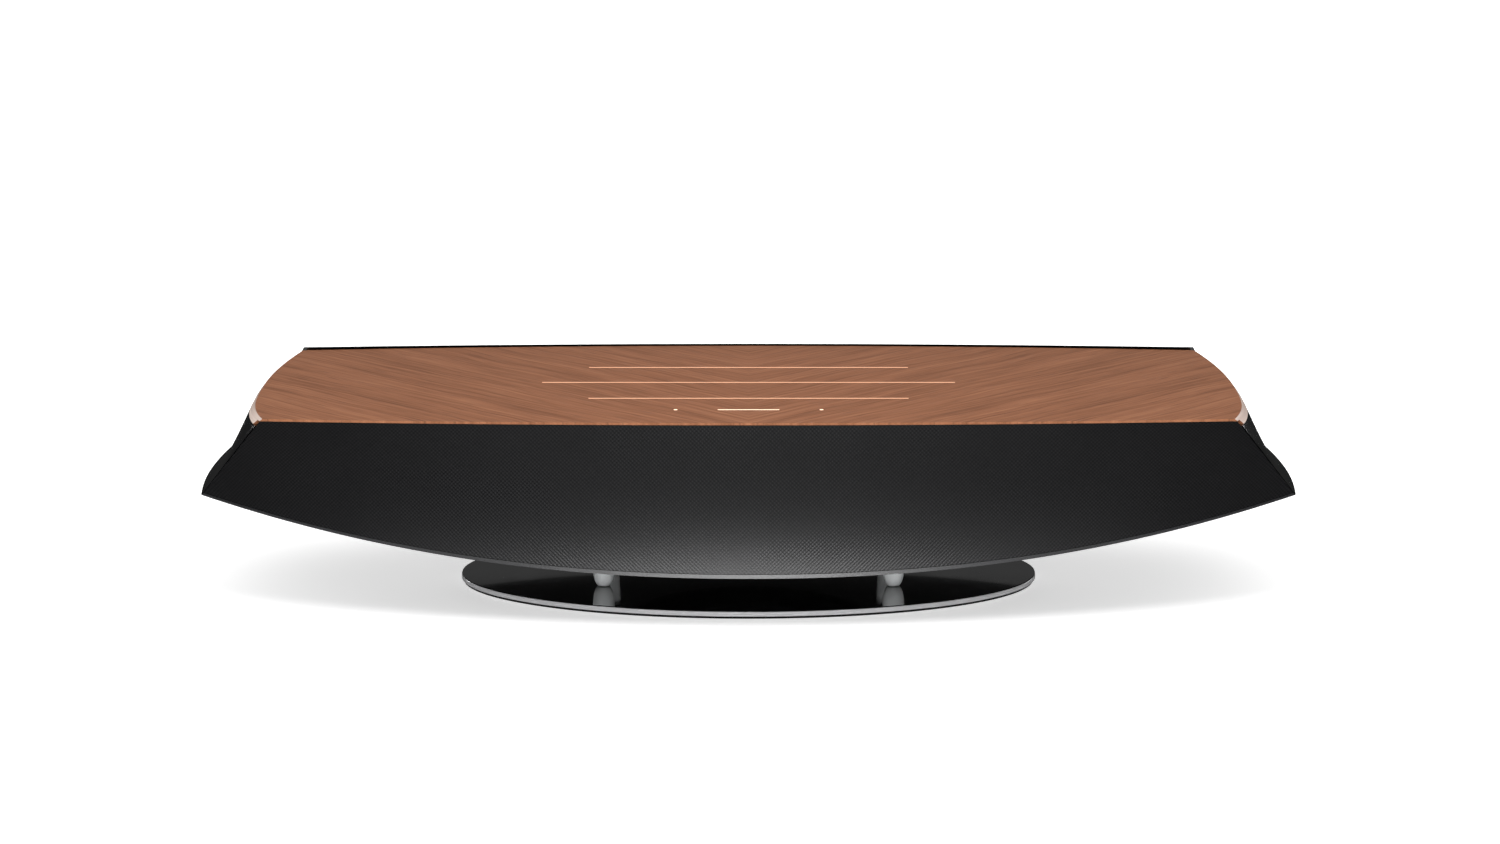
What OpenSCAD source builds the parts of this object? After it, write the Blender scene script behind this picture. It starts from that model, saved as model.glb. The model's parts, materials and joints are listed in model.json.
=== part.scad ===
// Wireless speaker in one long, flared body that floats over a thin oval base.
// The front faces -Y, +Z is up, and the origin is the centre of the base's underside.

/* [Body] */
// Width over the lower rim at its widest line
body_w = 655; // [651:1:661]
// How much narrower the lower rim is at its front corners, on each side
front_swell = 4; // [3.5:0.5:6]
// How much narrower the lower rim is at its back corners, on each side
back_swell = 3.2; // [2:0.2:4]
// Depth of the front half, from the middle to the chin
chin_d = 140; // [139:1:142]
// Height of the back edge above the floor
body_h = 130; // [129:0.5:132]
// Height of the lower rim at the middle
rim_low = 33; // [33:0.5:34]
// How much higher the lower rim is at the ends
rim_rise = 39; // [37:0.5:40]
// How far the back bulges past a straight line
back_bulge = 31.5; // [28:0.5:33]
// How hollow the front and the ends are, as a share of their flare
hollow = 0.3; // [0.2:0.02:0.34]
// Wall of the end caps and the back
wall_t = 2.6; // [2.2:0.1:2.8]

/* [Wood top] */
// Width of the panel at its front edge
wood_front_w = 570; // [566:1:574]
// Width of the panel at its back edge
wood_back_w = 564; // [560:1:568]
// Width of the panel at its widest line
wood_mid_w = 590; // [586:1:592]
// Thickness of the panel
wood_t = 4; // [3.6:0.1:4.2]
// Slope of the panel, in degrees
top_tilt = 2.8; // [2.6:0.1:3]

/* [Inlays] */
// Width of an inlaid strip
inlay_w = 1.7; // [1:0.1:2]
// Depth of an inlaid strip
inlay_t = 1.2; // [0.8:0.1:1.6]
// Length of the back strip
inlay_back_l = 198; // [180:1:210]
// Length of the middle strip
inlay_mid_l = 252; // [230:1:260]
// Length of the front strip
inlay_front_l = 192; // [180:1:210]
// Length of the light bar
light_bar_l = 36.6; // [30:0.2:40]

/* [Grille] */
// Thickness of the cloth
cloth_t = 0.8; // [0.6:0.1:0.8]
// Thickness of the frame behind the cloth
frame_t = 2.5; // [2:0.1:2.5]
// Share of the front's height that the lower trim takes
trim_share = 0.024; // [0.02:0.002:0.03]

/* [Speakers] */
// Outer radius of the woofer
woofer_r = 82.5; // [80:0.5:82.5]
// Outer radius of a midrange driver
mid_r = 36; // [34:0.5:36]
// Outer radius of a tweeter's plate
tweeter_r = 22; // [20:0.5:22]
// Outer radius of a side driver
side_r = 21; // [20:0.5:21]
// Sideways place of a midrange driver
mid_x = 112; // [108:1:116]
// Sideways place of a tweeter
tweeter_x = 195; // [190:1:200]

/* [Base] */
// Width of the oval base
base_w = 354; // [344:1:360]
// Depth of the oval base
base_d = 210; // [204:1:214]
// Thickness of the base plate
base_t = 3.4; // [3.4:0.1:4]
// Height of the rubber ring under the base
foot_t = 1.6; // [1.4:0.1:1.8]
// Thickness of the plate's lip over the rim
plate_lip_t = 0.5; // [0.4:0.1:0.8]
// Sideways place of a column
column_x = 88; // [87:0.5:92]
// Front-to-back place of a column
column_y = 40; // [39:0.5:42]

/* [Hidden] */
$fn = 72;

// Clearance between neighbouring covers
gap = 0.3;

// Plan outline of the wood panel
wood_front_y = -110;
wood_front_bow = 10;
wood_back_y = 95;
wood_back_bow = 13;
wood_mid_y = -25;
wood_corner_y = wood_front_y + wood_front_bow;
wood_back_corner_y = wood_back_y - wood_back_bow;
// How far the end edges lean outwards, at the front corner and past it
bevel_front = 4.5;
bevel_end = 3;
// Part of the front edge that shows above the cloth
front_reveal = 1.6;
back_lip = 0.8;
top_mid_z = body_h - back_lip - wood_back_y * tan(top_tilt);

// How much further out the shell's back corners stand
back_corner_out = 2.2;

// Plan outline of the lower rim
rim_half = body_w / 2 - front_swell;
rim_back_half = body_w / 2 - back_swell;
end_half = body_w / 2;
chin_bow = 50;
rim_corner_y = -chin_d + chin_bow;
rim_mid_y = -20;
rim_back_y = 118;
rim_back_corner_y = 62;
rim_power = 2.2;
shell_t = 3;

// Front wall: cloth, then frame
front_t = cloth_t + 0.1 + frame_t;

// Front baffle
baffle_t = 3.5;
baffle_y = -94;
baffle_z = 78;
baffle_tilt = 19.2;
baffle_half = 238;
baffle_top = 36;

// Woofer seat in the lower shell
seat_z = 40;
seat_r = 88;
seat_bottom = rim_low + 2.6;
gasket_t = 1;
woofer_z = seat_z + gasket_t;
woofer_screw_r = woofer_r * 0.957;
woofer_screws = 8;

// Side driver behind the end cap
side_y = 30;
side_z = 98.5;
side_x = 305.8;
side_tilt = 27;
side_turn = 4.3;
side_window_r = 19.6;
side_back = 6.5;

// Connector bay in the back
bay_half_w = 70;
bay_z0 = 46;
bay_z1 = 84;
bay_wall = 3;
bay_floor_y = 104;
bay_floor_t = 2.5;
bay_mid_z = (bay_z0 + bay_z1) / 2;
board_t = 1.6;
main_board_y = 96;
inlet_x = 50;
ethernet_x = 22;
hdmi_x = -4;
jack_x = -24;
standby_x = -42;
pairing_x = -57;
button_r = 3.4;
jack_r = 1.78;

// Circuit boards on the lower shell
board_z = 64;
board_x0 = 112;
board_x1 = 232;
board_y0 = -45;
board_y1 = 60;
post_inset = 6;

// Posts that hold the top chassis to the lower shell
case_posts = [[165, -62], [262, -55], [205, 75], [90, 82]];
post_r = 5;

column_top_z = rim_low + 0.5;
base_top_z = foot_t + base_t;
// How far the foot ring stands in from the rim's edge, and how wide it is
foot_inset = 1.2;
foot_w = 12;
rim_w = 2.7;

// ---- Shapes of the body ----

function lerp(a, b, t) = a + (b - a) * t;
function steps(n, a = 0, b = 1) = [for (i = [0:n]) lerp(a, b, i / n)];

// Height of the wood panel's upper face
function top_z(y) = top_mid_z + y * tan(top_tilt);

// Height of the lower rim and the underside
function rim_z(x) = rim_low + rim_rise * pow(abs(x) / rim_half, rim_power);

// Share of the half width that a step of -1 to 1 stands for, closer together near the ends
function spread(w) = 1.25 * w - 0.25 * pow(w, 5);

// Share of the flare reached at a share of the height
function flare(h, c) = (1 - c) * h + c * pow(h, 4);

// Half width of the wood panel at y
function wood_end_x(y) =
    let (before = (wood_mid_y - y) / (wood_mid_y - wood_corner_y))
    let (behind = (y - wood_mid_y) / (wood_back_corner_y - wood_mid_y))
    y < wood_mid_y
    ? wood_mid_w / 2 - (wood_mid_w - wood_front_w) / 2 * pow(before, 3)
    : wood_mid_w / 2 - (wood_mid_w - wood_back_w) / 2 * pow(behind, 2);

// Lean of the wood panel's end edge at y
function bevel(y) = lerp(bevel_front, bevel_end, min(1, (y - wood_corner_y) / 60));

// Half width of the lower rim at y
function end_rim_x(y) =
    y < rim_mid_y
    ? end_half - front_swell * pow((rim_mid_y - y) / (rim_mid_y - rim_corner_y), 2)
    : end_half - back_swell * pow((y - rim_mid_y) / (rim_back_corner_y - rim_mid_y), 2);

// Point of the front at width step w and height share h, t deep into the wall
function front_point(w, h, t) =
    let (s = spread(w), side = w < 0 ? -1 : 1)
    let (top_y = wood_front_y + wood_front_bow * s * s, low_y = -chin_d + chin_bow * s * s)
    let (top_x = s * (wood_front_w / 2 + bevel_front * front_reveal / wood_t - gap))
    let (low_x = s * (rim_half - gap), mitre = pow(abs(w), 12))
    [
        lerp(top_x, low_x, h) - side * mitre * t,
        lerp(top_y, low_y, flare(h, hollow * (1 - pow(s, 4)))) + t,
        lerp(top_z(top_y) - front_reveal, rim_z(low_x), h)
    ];

// Point of the right end at depth step v and height share h, t deep into the wall
function end_point(v, h, t) =
    let (top_y = lerp(wood_corner_y + gap, wood_back_corner_y + wall_t / 2 - gap, v))
    let (low_y = lerp(rim_corner_y + gap, rim_back_corner_y - gap, v))
    let (top_x = wood_end_x(top_y) + bevel(top_y), low_x = end_rim_x(low_y))
    let (c = hollow * (1 - pow(1 - v, 6)))
    [
        lerp(top_x, low_x, flare(h, c)) - t,
        lerp(top_y, low_y, h) + t * (pow(1 - v, 12) - 0.5 * pow(v, 12)),
        lerp(top_z(top_y) - wood_t - 0.1, rim_z(low_x), h)
    ];

// Point of the back at width step w and height share h, t deep into the wall
function back_point(w, h, t) =
    let (s = spread(w), side = w < 0 ? -1 : 1, turn = pow(abs(w), 8))
    let (top_x = s * wood_back_w / 2, out = wall_t * (1 - turn / 2) + back_corner_out * turn)
    let (top_y = wood_back_y + gap + out - wood_back_bow * s * s)
    let (low_x = s * rim_back_half, low_y = lerp(rim_back_y, rim_back_corner_y + gap, pow(abs(w), 5)))
    [
        lerp(top_x, low_x, flare(h, hollow * turn)) - side * turn * t,
        lerp(top_y, low_y, h) + back_bulge * (1 - pow(w, 4)) * sin(180 * h) - (1 - 0.5 * turn) * t,
        lerp(body_h, rim_z(low_x), h)
    ];

// Point of the underside, where v runs from the front to the back and t is upwards
function under_point(w, v, t) =
    let (s = spread(w), inset = front_t + 0.8)
    let (front_y = -chin_d + chin_bow * s * s + inset)
    let (back_y = lerp(rim_back_y - inset, rim_back_corner_y - 2, pow(abs(w), 5)))
    let (y = lerp(front_y, back_y, v), x = s * (end_rim_x(y) - inset))
    [x * (1 - 1.3 * t / end_half), y * (1 - t / chin_d), rim_z(x) + t];

function corners(a, b, c, d) = [[a, b, c], [a, c, d]];

// Closed solid between two depths of a surface, on a grid of us by vs
module skin(point, us, vs, t0, t1) {
    cols = len(us);
    rows = len(vs);
    count = cols * rows;
    points = [for (t = [t0, t1]) for (v = vs) for (u = us) point(u, v, t)];
    outer = [
        for (r = [0:rows - 2]) for (c = [0:cols - 2]) let (a = r * cols + c)
        each corners(a, a + 1, a + cols + 1, a + cols)
    ];
    inner = [
        for (r = [0:rows - 2]) for (c = [0:cols - 2]) let (a = count + r * cols + c)
        each corners(a, a + cols, a + cols + 1, a + 1)
    ];
    along = [
        for (c = [0:cols - 2]) let (e = (rows - 1) * cols + c)
        each concat(corners(c + 1, c, c + count, c + 1 + count), corners(e, e + 1, e + 1 + count, e + count))
    ];
    across = [
        for (r = [0:rows - 2]) let (p = r * cols, q = p + cols, m = q - 1, n = q + cols - 1)
        each concat(corners(p, q, q + count, p + count), corners(n, m, m + count, n + count))
    ];
    polyhedron(points, concat(outer, inner, along, across));
}

// Outline of the wood panel, inset all round and leaning out at the ends
function wood_outline(inset, lean) = concat(
    [
        for (s = steps(24, -1, 1))
        [s * (wood_front_w / 2 - inset + lean * bevel_front), wood_front_y + wood_front_bow * s * s + inset]
    ],
    wood_end(1, inset, lean),
    [
        for (s = steps(24, 1, -1))
        [s * (wood_back_w / 2 - inset + lean * bevel_end), wood_back_y - wood_back_bow * s * s - inset]
    ],
    wood_end(-1, inset, lean)
);

// Points of one end of that outline, without its corners
function wood_end(side, inset, lean) = [
    for (i = [1:17])
    let (v = side > 0 ? i / 18 : 1 - i / 18)
    let (y = lerp(wood_corner_y + inset, wood_back_corner_y - inset, v))
    [side * (wood_end_x(y) - inset + lean * bevel(y)), y]
];

// Puts things on the wood panel's sloping upper face
module on_top() {
    translate([0, 0, top_mid_z])
    rotate([top_tilt, 0, 0])
    children();
}

// Puts a driver behind the baffle, facing along local +Z
module on_baffle(x) {
    translate([x, baffle_y, baffle_z])
    rotate([90 - baffle_tilt, 0, 0])
    children();
}

// Puts a driver behind the right end cap, facing out and up
module on_end() {
    translate([side_x, side_y, side_z])
    rotate([0, 0, side_turn])
    rotate([0, 90 - side_tilt, 0])
    children();
}

// Puts the woofer on its seat, facing down
module on_seat() {
    translate([0, 0, woofer_z])
    rotate([180, 0, 0])
    children();
}

module ring(r_in, r_out, z0, z1) {
    difference() {
        translate([0, 0, z0]) cylinder(r = r_out, h = z1 - z0);
        translate([0, 0, z0 - 1]) cylinder(r = r_in, h = z1 - z0 + 2);
    }
}

// ---- Wood top and touch controls ----

inlay_places = [[34, inlay_back_l], [-6.4, inlay_mid_l], [-48, inlay_front_l]];
light_y = -77;
dot_x = 43.2;
dot_r = 1.3;

module wood_top() {
    low = wood_outline(0, 1);
    high = wood_outline(0, 0);
    count = len(high);
    sides = [for (i = [0:count - 1]) let (j = (i + 1) % count) each corners(i, j, j + count, i + count)];
    color("peru")
    on_top()
    difference() {
        polyhedron(
            concat([for (p = low) [p.x, p.y, -wood_t]], [for (p = high) [p.x, p.y, 0]]),
            concat([for (f = sides) [f[2], f[1], f[0]]], [[for (i = [0:count - 1]) i]],
                [[for (i = [count - 1:-1:0]) i + count]])
        );
        front_rabbet();
        for (place = inlay_places)
            translate([0, place[0], 0])
            cube([place[1], inlay_w, 2 * inlay_t], center = true);
        translate([0, light_y, 0]) cube([light_bar_l, 1.6, 20], center = true);
        for (side = [-1, 1])
            translate([side * dot_x, light_y, -10])
            cylinder(r = dot_r, h = 20);
    }
}

// Step under the front edge that makes room for the grille
module front_rabbet() {
    front = [for (s = steps(24, -1, 1)) [s * 310, wood_front_y - 20]];
    back = [
        for (s = steps(24, 1, -1))
        [s * 310, wood_front_y + front_t + 0.5 + wood_front_bow * pow(s * 310 / (wood_front_w / 2), 2)]
    ];
    translate([0, 0, -10])
    linear_extrude(10 - front_reveal + 0.2)
    polygon(concat(front, back));
}

module inlay_strips() {
    slack = 0.1;
    color("peachpuff")
    on_top()
    for (place = inlay_places)
        translate([-(place[1] - slack) / 2, place[0] - (inlay_w - slack) / 2, -inlay_t])
        cube([place[1] - slack, inlay_w - slack, inlay_t]);
}

module light_bar() {
    slack = 0.1;
    color("seashell")
    on_top()
    translate([-(light_bar_l - slack) / 2, light_y - 0.75, -wood_t])
    cube([light_bar_l - slack, 1.5, wood_t]);
}

module touch_dot_lights() {
    color("seashell")
    on_top()
    for (side = [-1, 1])
        translate([side * dot_x, light_y, -wood_t])
        cylinder(r = dot_r - 0.05, h = wood_t);
}

module touch_board() {
    color("darkgreen")
    on_top()
    translate([0, light_y, -wood_t - 0.1 - board_t])
    union() {
        translate([-62, -14, 0]) cube([124, 28, board_t]);
        translate([-10, -12, -3]) cube([20, 6, 3.2]);
        for (x = [-40, -22, 22, 40])
            translate([x - 3, 2, -1.2])
            cube([6, 6, 1.4]);
    }
}

module top_chassis() {
    color("dimgray") {
        difference() {
            union() {
                on_top()
                    translate([0, 0, -wood_t - 0.1 - shell_t])
                    linear_extrude(shell_t)
                    polygon(wood_outline(6.5, 0));
                for (side = [-1, 1], post = case_posts) {
                    foot = rim_z(post.x) + 5.4;
                    translate([side * post.x, post.y, foot])
                        cylinder(r = post_r, h = top_z(post.y) - wood_t - 1 - foot);
                }
            }
            on_top()
                translate([-64, light_y - 16, -20])
                cube([128, 32, 30]);
            for (side = [-1, 1], x = [70, 175], y = [-40, 30])
                translate([side * x - 30, y - 20, 100])
                cube([60, 40, 40]);
            translate([-30, 30, 100]) cube([60, 40, 40]);
            for (side = [-1, 1], post = case_posts)
                translate([side * post.x, post.y, rim_z(post.x)])
                cylinder(r = 1.55, h = 20);
        }
    }
}

// ---- Grille ----

cloth_us = steps(48, -1, 1);
cloth_vs = steps(10, 0, 1 - trim_share - 0.003);

module grille_cloth() {
    color("darkslategray")
    skin(function(w, h, t) front_point(w, h, t), cloth_us, cloth_vs, 0, cloth_t);
}

module grille_frame() {
    windows = 8;
    window_w = 64;
    pitch = 74;
    color("black")
    difference() {
        skin(function(w, h, t) front_point(w, h, t), cloth_us, cloth_vs, cloth_t + 0.1, front_t);
        for (i = [0:windows - 1]) {
            x = (i - (windows - 1) / 2) * pitch;
            low = rim_z(abs(x) + window_w / 2) + 9;
            translate([x - window_w / 2, -chin_d - 10, low])
                cube([window_w, 60, 108 - low]);
        }
    }
}

module grille_trim() {
    color("dimgray")
    skin(function(w, h, t) front_point(w, h, t), steps(48, -1, 1), steps(1, 1 - trim_share, 1), 0, front_t);
}

// ---- Baffle ----

module front_baffle() {
    bottom = [
        for (s = steps(28, -1, 1))
        [s * baffle_half, (rim_z(s * baffle_half) + shell_t + 3.6 - baffle_z) / cos(baffle_tilt)]
    ];
    color("dimgray")
    on_baffle(0)
    difference() {
        translate([0, 0, -baffle_t])
            linear_extrude(baffle_t)
            polygon(concat(bottom, [[baffle_half, baffle_top], [-baffle_half, baffle_top]]));
        for (side = [-1, 1]) {
            translate([side * mid_x, 0, -10]) cylinder(r = mid_r * 0.92, h = 20);
            translate([side * tweeter_x, 0, -10]) cylinder(r = 16, h = 20);
            translate([side * mid_x, 0, 0]) ear_holes(mid_r, 1.6, -10, 20);
            translate([side * tweeter_x, 0, 0]) plate_holes(1.3, -10, 20);
        }
        translate([0, 0, -10]) cylinder(r = 20, h = 20);
    }
}

// ---- End caps, back and underside ----

module end_cap() {
    color("black")
    difference() {
        skin(function(v, h, t) end_point(v, h, t), steps(22), steps(12), 0, wall_t);
        on_end() translate([0, 0, -20]) cylinder(r = side_window_r, h = 40);
    }
}

// Slotted cap that fills the window of the end cap, on a flange that the side driver screws to
module side_grille() {
    slot_w = 2;
    slot_pitch = 3.6;
    r_in = side_window_r - 1.3;
    r_out = side_window_r - gap;
    flange_r = side_r + 3.5;
    flange_z = 2.3 - side_back;
    color("black")
    on_end()
    difference() {
        rotate_extrude()
            polygon([
                [0, -2.6], [r_in, -2.6], [r_in, -side_back], [flange_r, -side_back],
                [flange_r, flange_z], [r_out, flange_z], [r_out, -1], [0, -1]
            ]);
        for (i = [-4:4]) {
            half = sqrt(pow(r_out - 3.2, 2) - pow(i * slot_pitch, 2));
            translate([-half, i * slot_pitch - slot_w / 2, -4])
                cube([2 * half, slot_w, 10]);
        }
        ear_holes(side_r, 1.2, -side_back - 1, 10);
    }
}

module rear_shell() {
    color("black")
    difference() {
        skin(function(w, h, t) back_point(-w, h, t), steps(52, -1, 1), steps(14), 0, wall_t);
        translate([-bay_half_w, bay_floor_y, bay_z0])
            cube([2 * bay_half_w, 60, bay_z1 - bay_z0]);
    }
}

module lower_shell() {
    color("black")
    difference() {
        union() {
            skin(function(w, v, t) under_point(w, v, t), steps(44, -1, 1), steps(8), 0, shell_t);
            translate([0, 0, seat_bottom]) cylinder(r = seat_r, h = seat_z - seat_bottom);
            for (side = [-1, 1]) {
                for (y = [-column_y, column_y])
                    translate([side * column_x, y, column_top_z])
                    cylinder(r = 9, h = 9);
                for (x = [board_x0 + post_inset, board_x1 - post_inset])
                    for (y = [board_y0 + post_inset, board_y1 - post_inset])
                        translate([side * x, y, 0])
                        board_post(rim_z(x) + 1.5);
            }
        }
        translate([0, 0, 20]) cylinder(r = woofer_r * 0.9, h = 40);
        for (a = [0:woofer_screws - 1])
            rotate([0, 0, (a + 0.5) * 360 / woofer_screws])
            translate([woofer_screw_r, 0, seat_bottom + 0.8])
            cylinder(r = 1.6, h = 20);
        for (side = [-1, 1]) {
            for (y = [-column_y, column_y])
                translate([side * column_x, y, 20])
                cylinder(r = 2.6, h = column_top_z - 20 + 6);
            for (post = case_posts)
                translate([side * post.x, post.y, 0]) {
                    cylinder(r = 1.8, h = 100);
                    cylinder(r = 3.6, h = rim_z(post.x) + 1.2);
                }
        }
    }
}

// Post with a pin that stakes a circuit board
module board_post(z0) {
    translate([0, 0, z0]) cylinder(r = 3.5, h = board_z - z0);
    translate([0, 0, board_z - 1]) cylinder(r = 1.5, h = board_t + 2);
}

// ---- Loudspeakers, facing along local +Z with the flange's front at zero ----

// Holes of the four ears of a small driver
module ear_holes(r, hole_r, z0, h) {
    for (a = [45:90:315])
        rotate([0, 0, a])
        translate([r + 1.5, 0, z0])
        cylinder(r = hole_r, h = h);
}

// Holes of a tweeter's plate
module plate_holes(hole_r, z0, h) {
    for (a = [90:120:330])
        rotate([0, 0, a])
        translate([tweeter_r - 3, 0, z0])
        cylinder(r = hole_r, h = h);
}

function flange_t(r) = max(1.6, 0.03 * r);
function basket_depth(r) = 0.4 * r;

module basket_body(r) {
    flange = flange_t(r);
    back = basket_depth(r);
    floor_z = 0.7 + 0.008 * r - back;
    rotate_extrude()
        polygon([
            [0.86 * r, -1], [0.915 * r, -1], [0.915 * r, 0], [r, 0], [r, -flange], [0.9 * r, -flange],
            [0.6 * r, -back], [0.215 * r, -back], [0.215 * r, floor_z], [0.57 * r, floor_z],
            [0.6 * r, -0.33 * r], [0.56 * r, -0.33 * r], [0.56 * r, -0.3 * r], [0.64 * r, -0.3 * r],
            [0.86 * r, -flange - 0.2]
        ]);
}

module basket_windows(r, count) {
    top = -flange_t(r) - 0.05 * r;
    for (a = [0:count - 1])
        rotate([0, 0, a * 360 / count])
        translate([0.5 * r, -0.19 * r, -0.28 * r])
        cube([r, 0.38 * r, 0.28 * r + top]);
}

// Frame of a small driver with four ears
module small_basket(r) {
    difference() {
        union() {
            basket_body(r);
            difference() {
                for (a = [45:90:315])
                    rotate([0, 0, a])
                    translate([r + 1.5, 0, -flange_t(r)])
                    cylinder(r = 4, h = flange_t(r));
                translate([0, 0, -10]) cylinder(r = 0.95 * r, h = 20);
            }
        }
        basket_windows(r, 4);
        ear_holes(r, 1.7, -10, 20);
    }
}

// Front plate, magnet and yoke, one behind the other
module motor(r) {
    back = basket_depth(r);
    glue = 0.05;
    ring(0.215 * r, 0.53 * r, -0.47 * r, -back - glue);
    ring(0.3 * r, 0.56 * r, -0.64 * r + glue, -0.47 * r - glue);
    union() {
        translate([0, 0, -0.7 * r]) cylinder(r = 0.53 * r, h = 0.06 * r);
        translate([0, 0, -0.65 * r]) cylinder(r = 0.175 * r, h = 0.25 * r);
    }
}

// Half-round roll between the cone and the frame
module surround(r) {
    thick = max(0.5, 0.009 * r);
    mid = 0.795 * r;
    roll = 0.07 * r;
    rotate_extrude()
    union() {
        translate([0.69 * r, -0.9]) square([0.045 * r, thick]);
        translate([0.855 * r, -1]) square([0.05 * r, thick]);
        translate([mid, -0.9])
            intersection() {
                difference() {
                    circle(r = roll);
                    circle(r = roll - thick);
                }
                translate([-r, 0]) square([2 * r, r]);
            }
    }
}

// Paper cone with its dust cap
module cone(r) {
    thick = max(0.5, 0.01 * r);
    cap_r = 0.27 * r;
    cap_z = -0.229 * r;
    ball = 0.4 * r;
    sink = sqrt(ball * ball - cap_r * cap_r);
    rotate_extrude()
    polygon([
        [0.196 * r, -0.26 * r - thick], [0.22 * r, -0.26 * r - thick], [0.7 * r, -0.9 - thick * 1.6],
        [0.735 * r, -0.9 - thick * 1.6], [0.735 * r, -0.9], [0.69 * r, -0.9], [0.196 * r, -0.26 * r]
    ]);
    rotate_extrude()
        intersection() {
            translate([0, cap_z - sink])
            difference() {
                circle(r = ball);
                circle(r = ball - thick);
            }
            translate([0, cap_z + 0.006 * r]) square([cap_r, r]);
        }
}

// Former and winding
module voice_coil(r) {
    ring(0.183 * r, 0.195 * r, -0.5 * r, -0.258 * r);
    ring(0.1951 * r, 0.207 * r, -0.5 * r, -0.38 * r);
}

// Corrugated disc that centres the coil
module spider(r) {
    thick = 0.6;
    waves = 5;
    r0 = 0.196 * r;
    r1 = 0.56 * r;
    level = -0.33 * r - 0.3;
    top = [for (s = steps(40)) [lerp(r0, r1, s), level + 0.9 * sin(360 * waves * s)]];
    rotate_extrude()
    polygon(concat(
        top,
        [[r1 + 0.02 * r, level], [r1 + 0.02 * r, level - thick]],
        [for (i = [len(top) - 1:-1:0]) [top[i].x, top[i].y - thick]]
    ));
}

module woofer_basket() {
    color("dimgray")
    on_seat()
    difference() {
        basket_body(woofer_r);
        basket_windows(woofer_r, 6);
        for (a = [0:woofer_screws - 1])
            rotate([0, 0, (a + 0.5) * 360 / woofer_screws])
            translate([woofer_screw_r, 0, -10])
            cylinder(r = 1.9, h = 20);
    }
}

module woofer_motor() {
    color("gray") on_seat() motor(woofer_r);
}

module woofer_gasket() {
    color("black")
    difference() {
        ring(woofer_r * 0.915, woofer_r, seat_z, seat_z + gasket_t);
        for (a = [0:woofer_screws - 1])
            rotate([0, 0, (a + 0.5) * 360 / woofer_screws])
            translate([woofer_screw_r, 0, 20])
            cylinder(r = 2, h = 40);
    }
}

module woofer_surround() {
    color("black") on_seat() surround(woofer_r);
}

module woofer_spider() {
    color("goldenrod") on_seat() spider(woofer_r);
}

module woofer_cone() {
    color("slategray") on_seat() cone(woofer_r);
}

module woofer_voice_coil() {
    color("chocolate") on_seat() voice_coil(woofer_r);
}

module mid_basket(side) {
    color("dimgray") on_baffle(side * mid_x) translate([0, 0, -baffle_t]) small_basket(mid_r);
}

module mid_motor(side) {
    color("gray") on_baffle(side * mid_x) translate([0, 0, -baffle_t]) motor(mid_r);
}

module mid_surround(side) {
    color("black") on_baffle(side * mid_x) translate([0, 0, -baffle_t]) surround(mid_r);
}

module mid_cone(side) {
    color("slategray") on_baffle(side * mid_x) translate([0, 0, -baffle_t]) moving_cone(mid_r);
}

// Cone with its coil, as one glued piece
module moving_cone(r) {
    union() {
        cone(r);
        ring(0.183 * r, 0.2 * r, -0.5 * r, -0.25 * r);
    }
}

module tweeter_body(side) {
    color("dimgray")
    on_baffle(side * tweeter_x)
    translate([0, 0, -baffle_t]) {
        difference() {
            rotate_extrude()
                polygon([[10.4, -3], [tweeter_r, -3], [tweeter_r, 0], [15, 0], [10.4, -2]]);
            plate_holes(1.4, -10, 20);
        }
        rotate_extrude()
            polygon([
                [0, -19], [15, -19], [15, -3], [10.1, -3],
                [10.1, -10], [8.3, -10], [8.3, -3.4], [0, -3.4]
            ]);
    }
}

module tweeter_dome(side) {
    dome_r = 9.4;
    rise = 3.2;
    thick = 0.4;
    ball = (dome_r * dome_r + rise * rise) / (2 * rise);
    color("black")
    on_baffle(side * tweeter_x)
    translate([0, 0, -baffle_t - 2.5])
    union() {
        rotate_extrude()
            intersection() {
                translate([0, rise - ball])
                difference() {
                    circle(r = ball);
                    circle(r = ball - thick);
                }
                square([dome_r, 2 * rise]);
            }
        ring(8.8, dome_r, -4.5, 0.2);
    }
}

module side_basket() {
    color("dimgray")
    on_end()
    translate([0, 0, -side_back]) {
        small_basket(side_r);
        motor(side_r);
    }
}

module side_surround() {
    color("black") on_end() translate([0, 0, -side_back]) surround(side_r);
}

module side_cone() {
    color("slategray") on_end() translate([0, 0, -side_back]) moving_cone(side_r);
}

// ---- Electronics ----

module circuit_board() {
    difference() {
        translate([board_x0, board_y0, board_z]) cube([board_x1 - board_x0, board_y1 - board_y0, board_t]);
        for (x = [board_x0 + post_inset, board_x1 - post_inset])
            for (y = [board_y0 + post_inset, board_y1 - post_inset])
                translate([x, y, board_z - 5])
                cylinder(r = 1.6, h = 10);
    }
}

module power_board() {
    parts_z = board_z + board_t - 0.2;
    color("seagreen")
    union() {
        circuit_board();
        translate([150, -30, parts_z]) cube([36, 30, 26]);
        translate([200, -30, parts_z]) cube([10, 34, 20]);
        for (y = [15, 38])
            translate([150, y, parts_z])
            cylinder(r = 9, h = 30);
        translate([176, 12, parts_z]) cube([18, 32, 14]);
        translate([204, 14, parts_z]) cube([16, 12, 10]);
    }
}

module amplifier_board() {
    parts_z = board_z + board_t - 0.2;
    color("seagreen")
    mirror([1, 0, 0])
    union() {
        circuit_board();
        for (x = [140, 162, 184, 206])
            translate([x, -30, parts_z])
            cylinder(r = 7, h = 10);
        translate([140, 0, parts_z]) cube([64, 26, 3.2]);
        translate([140, 40, parts_z]) cube([12, 12, 9]);
        translate([190, 40, parts_z]) cube([22, 8, 9]);
    }
}

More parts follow.
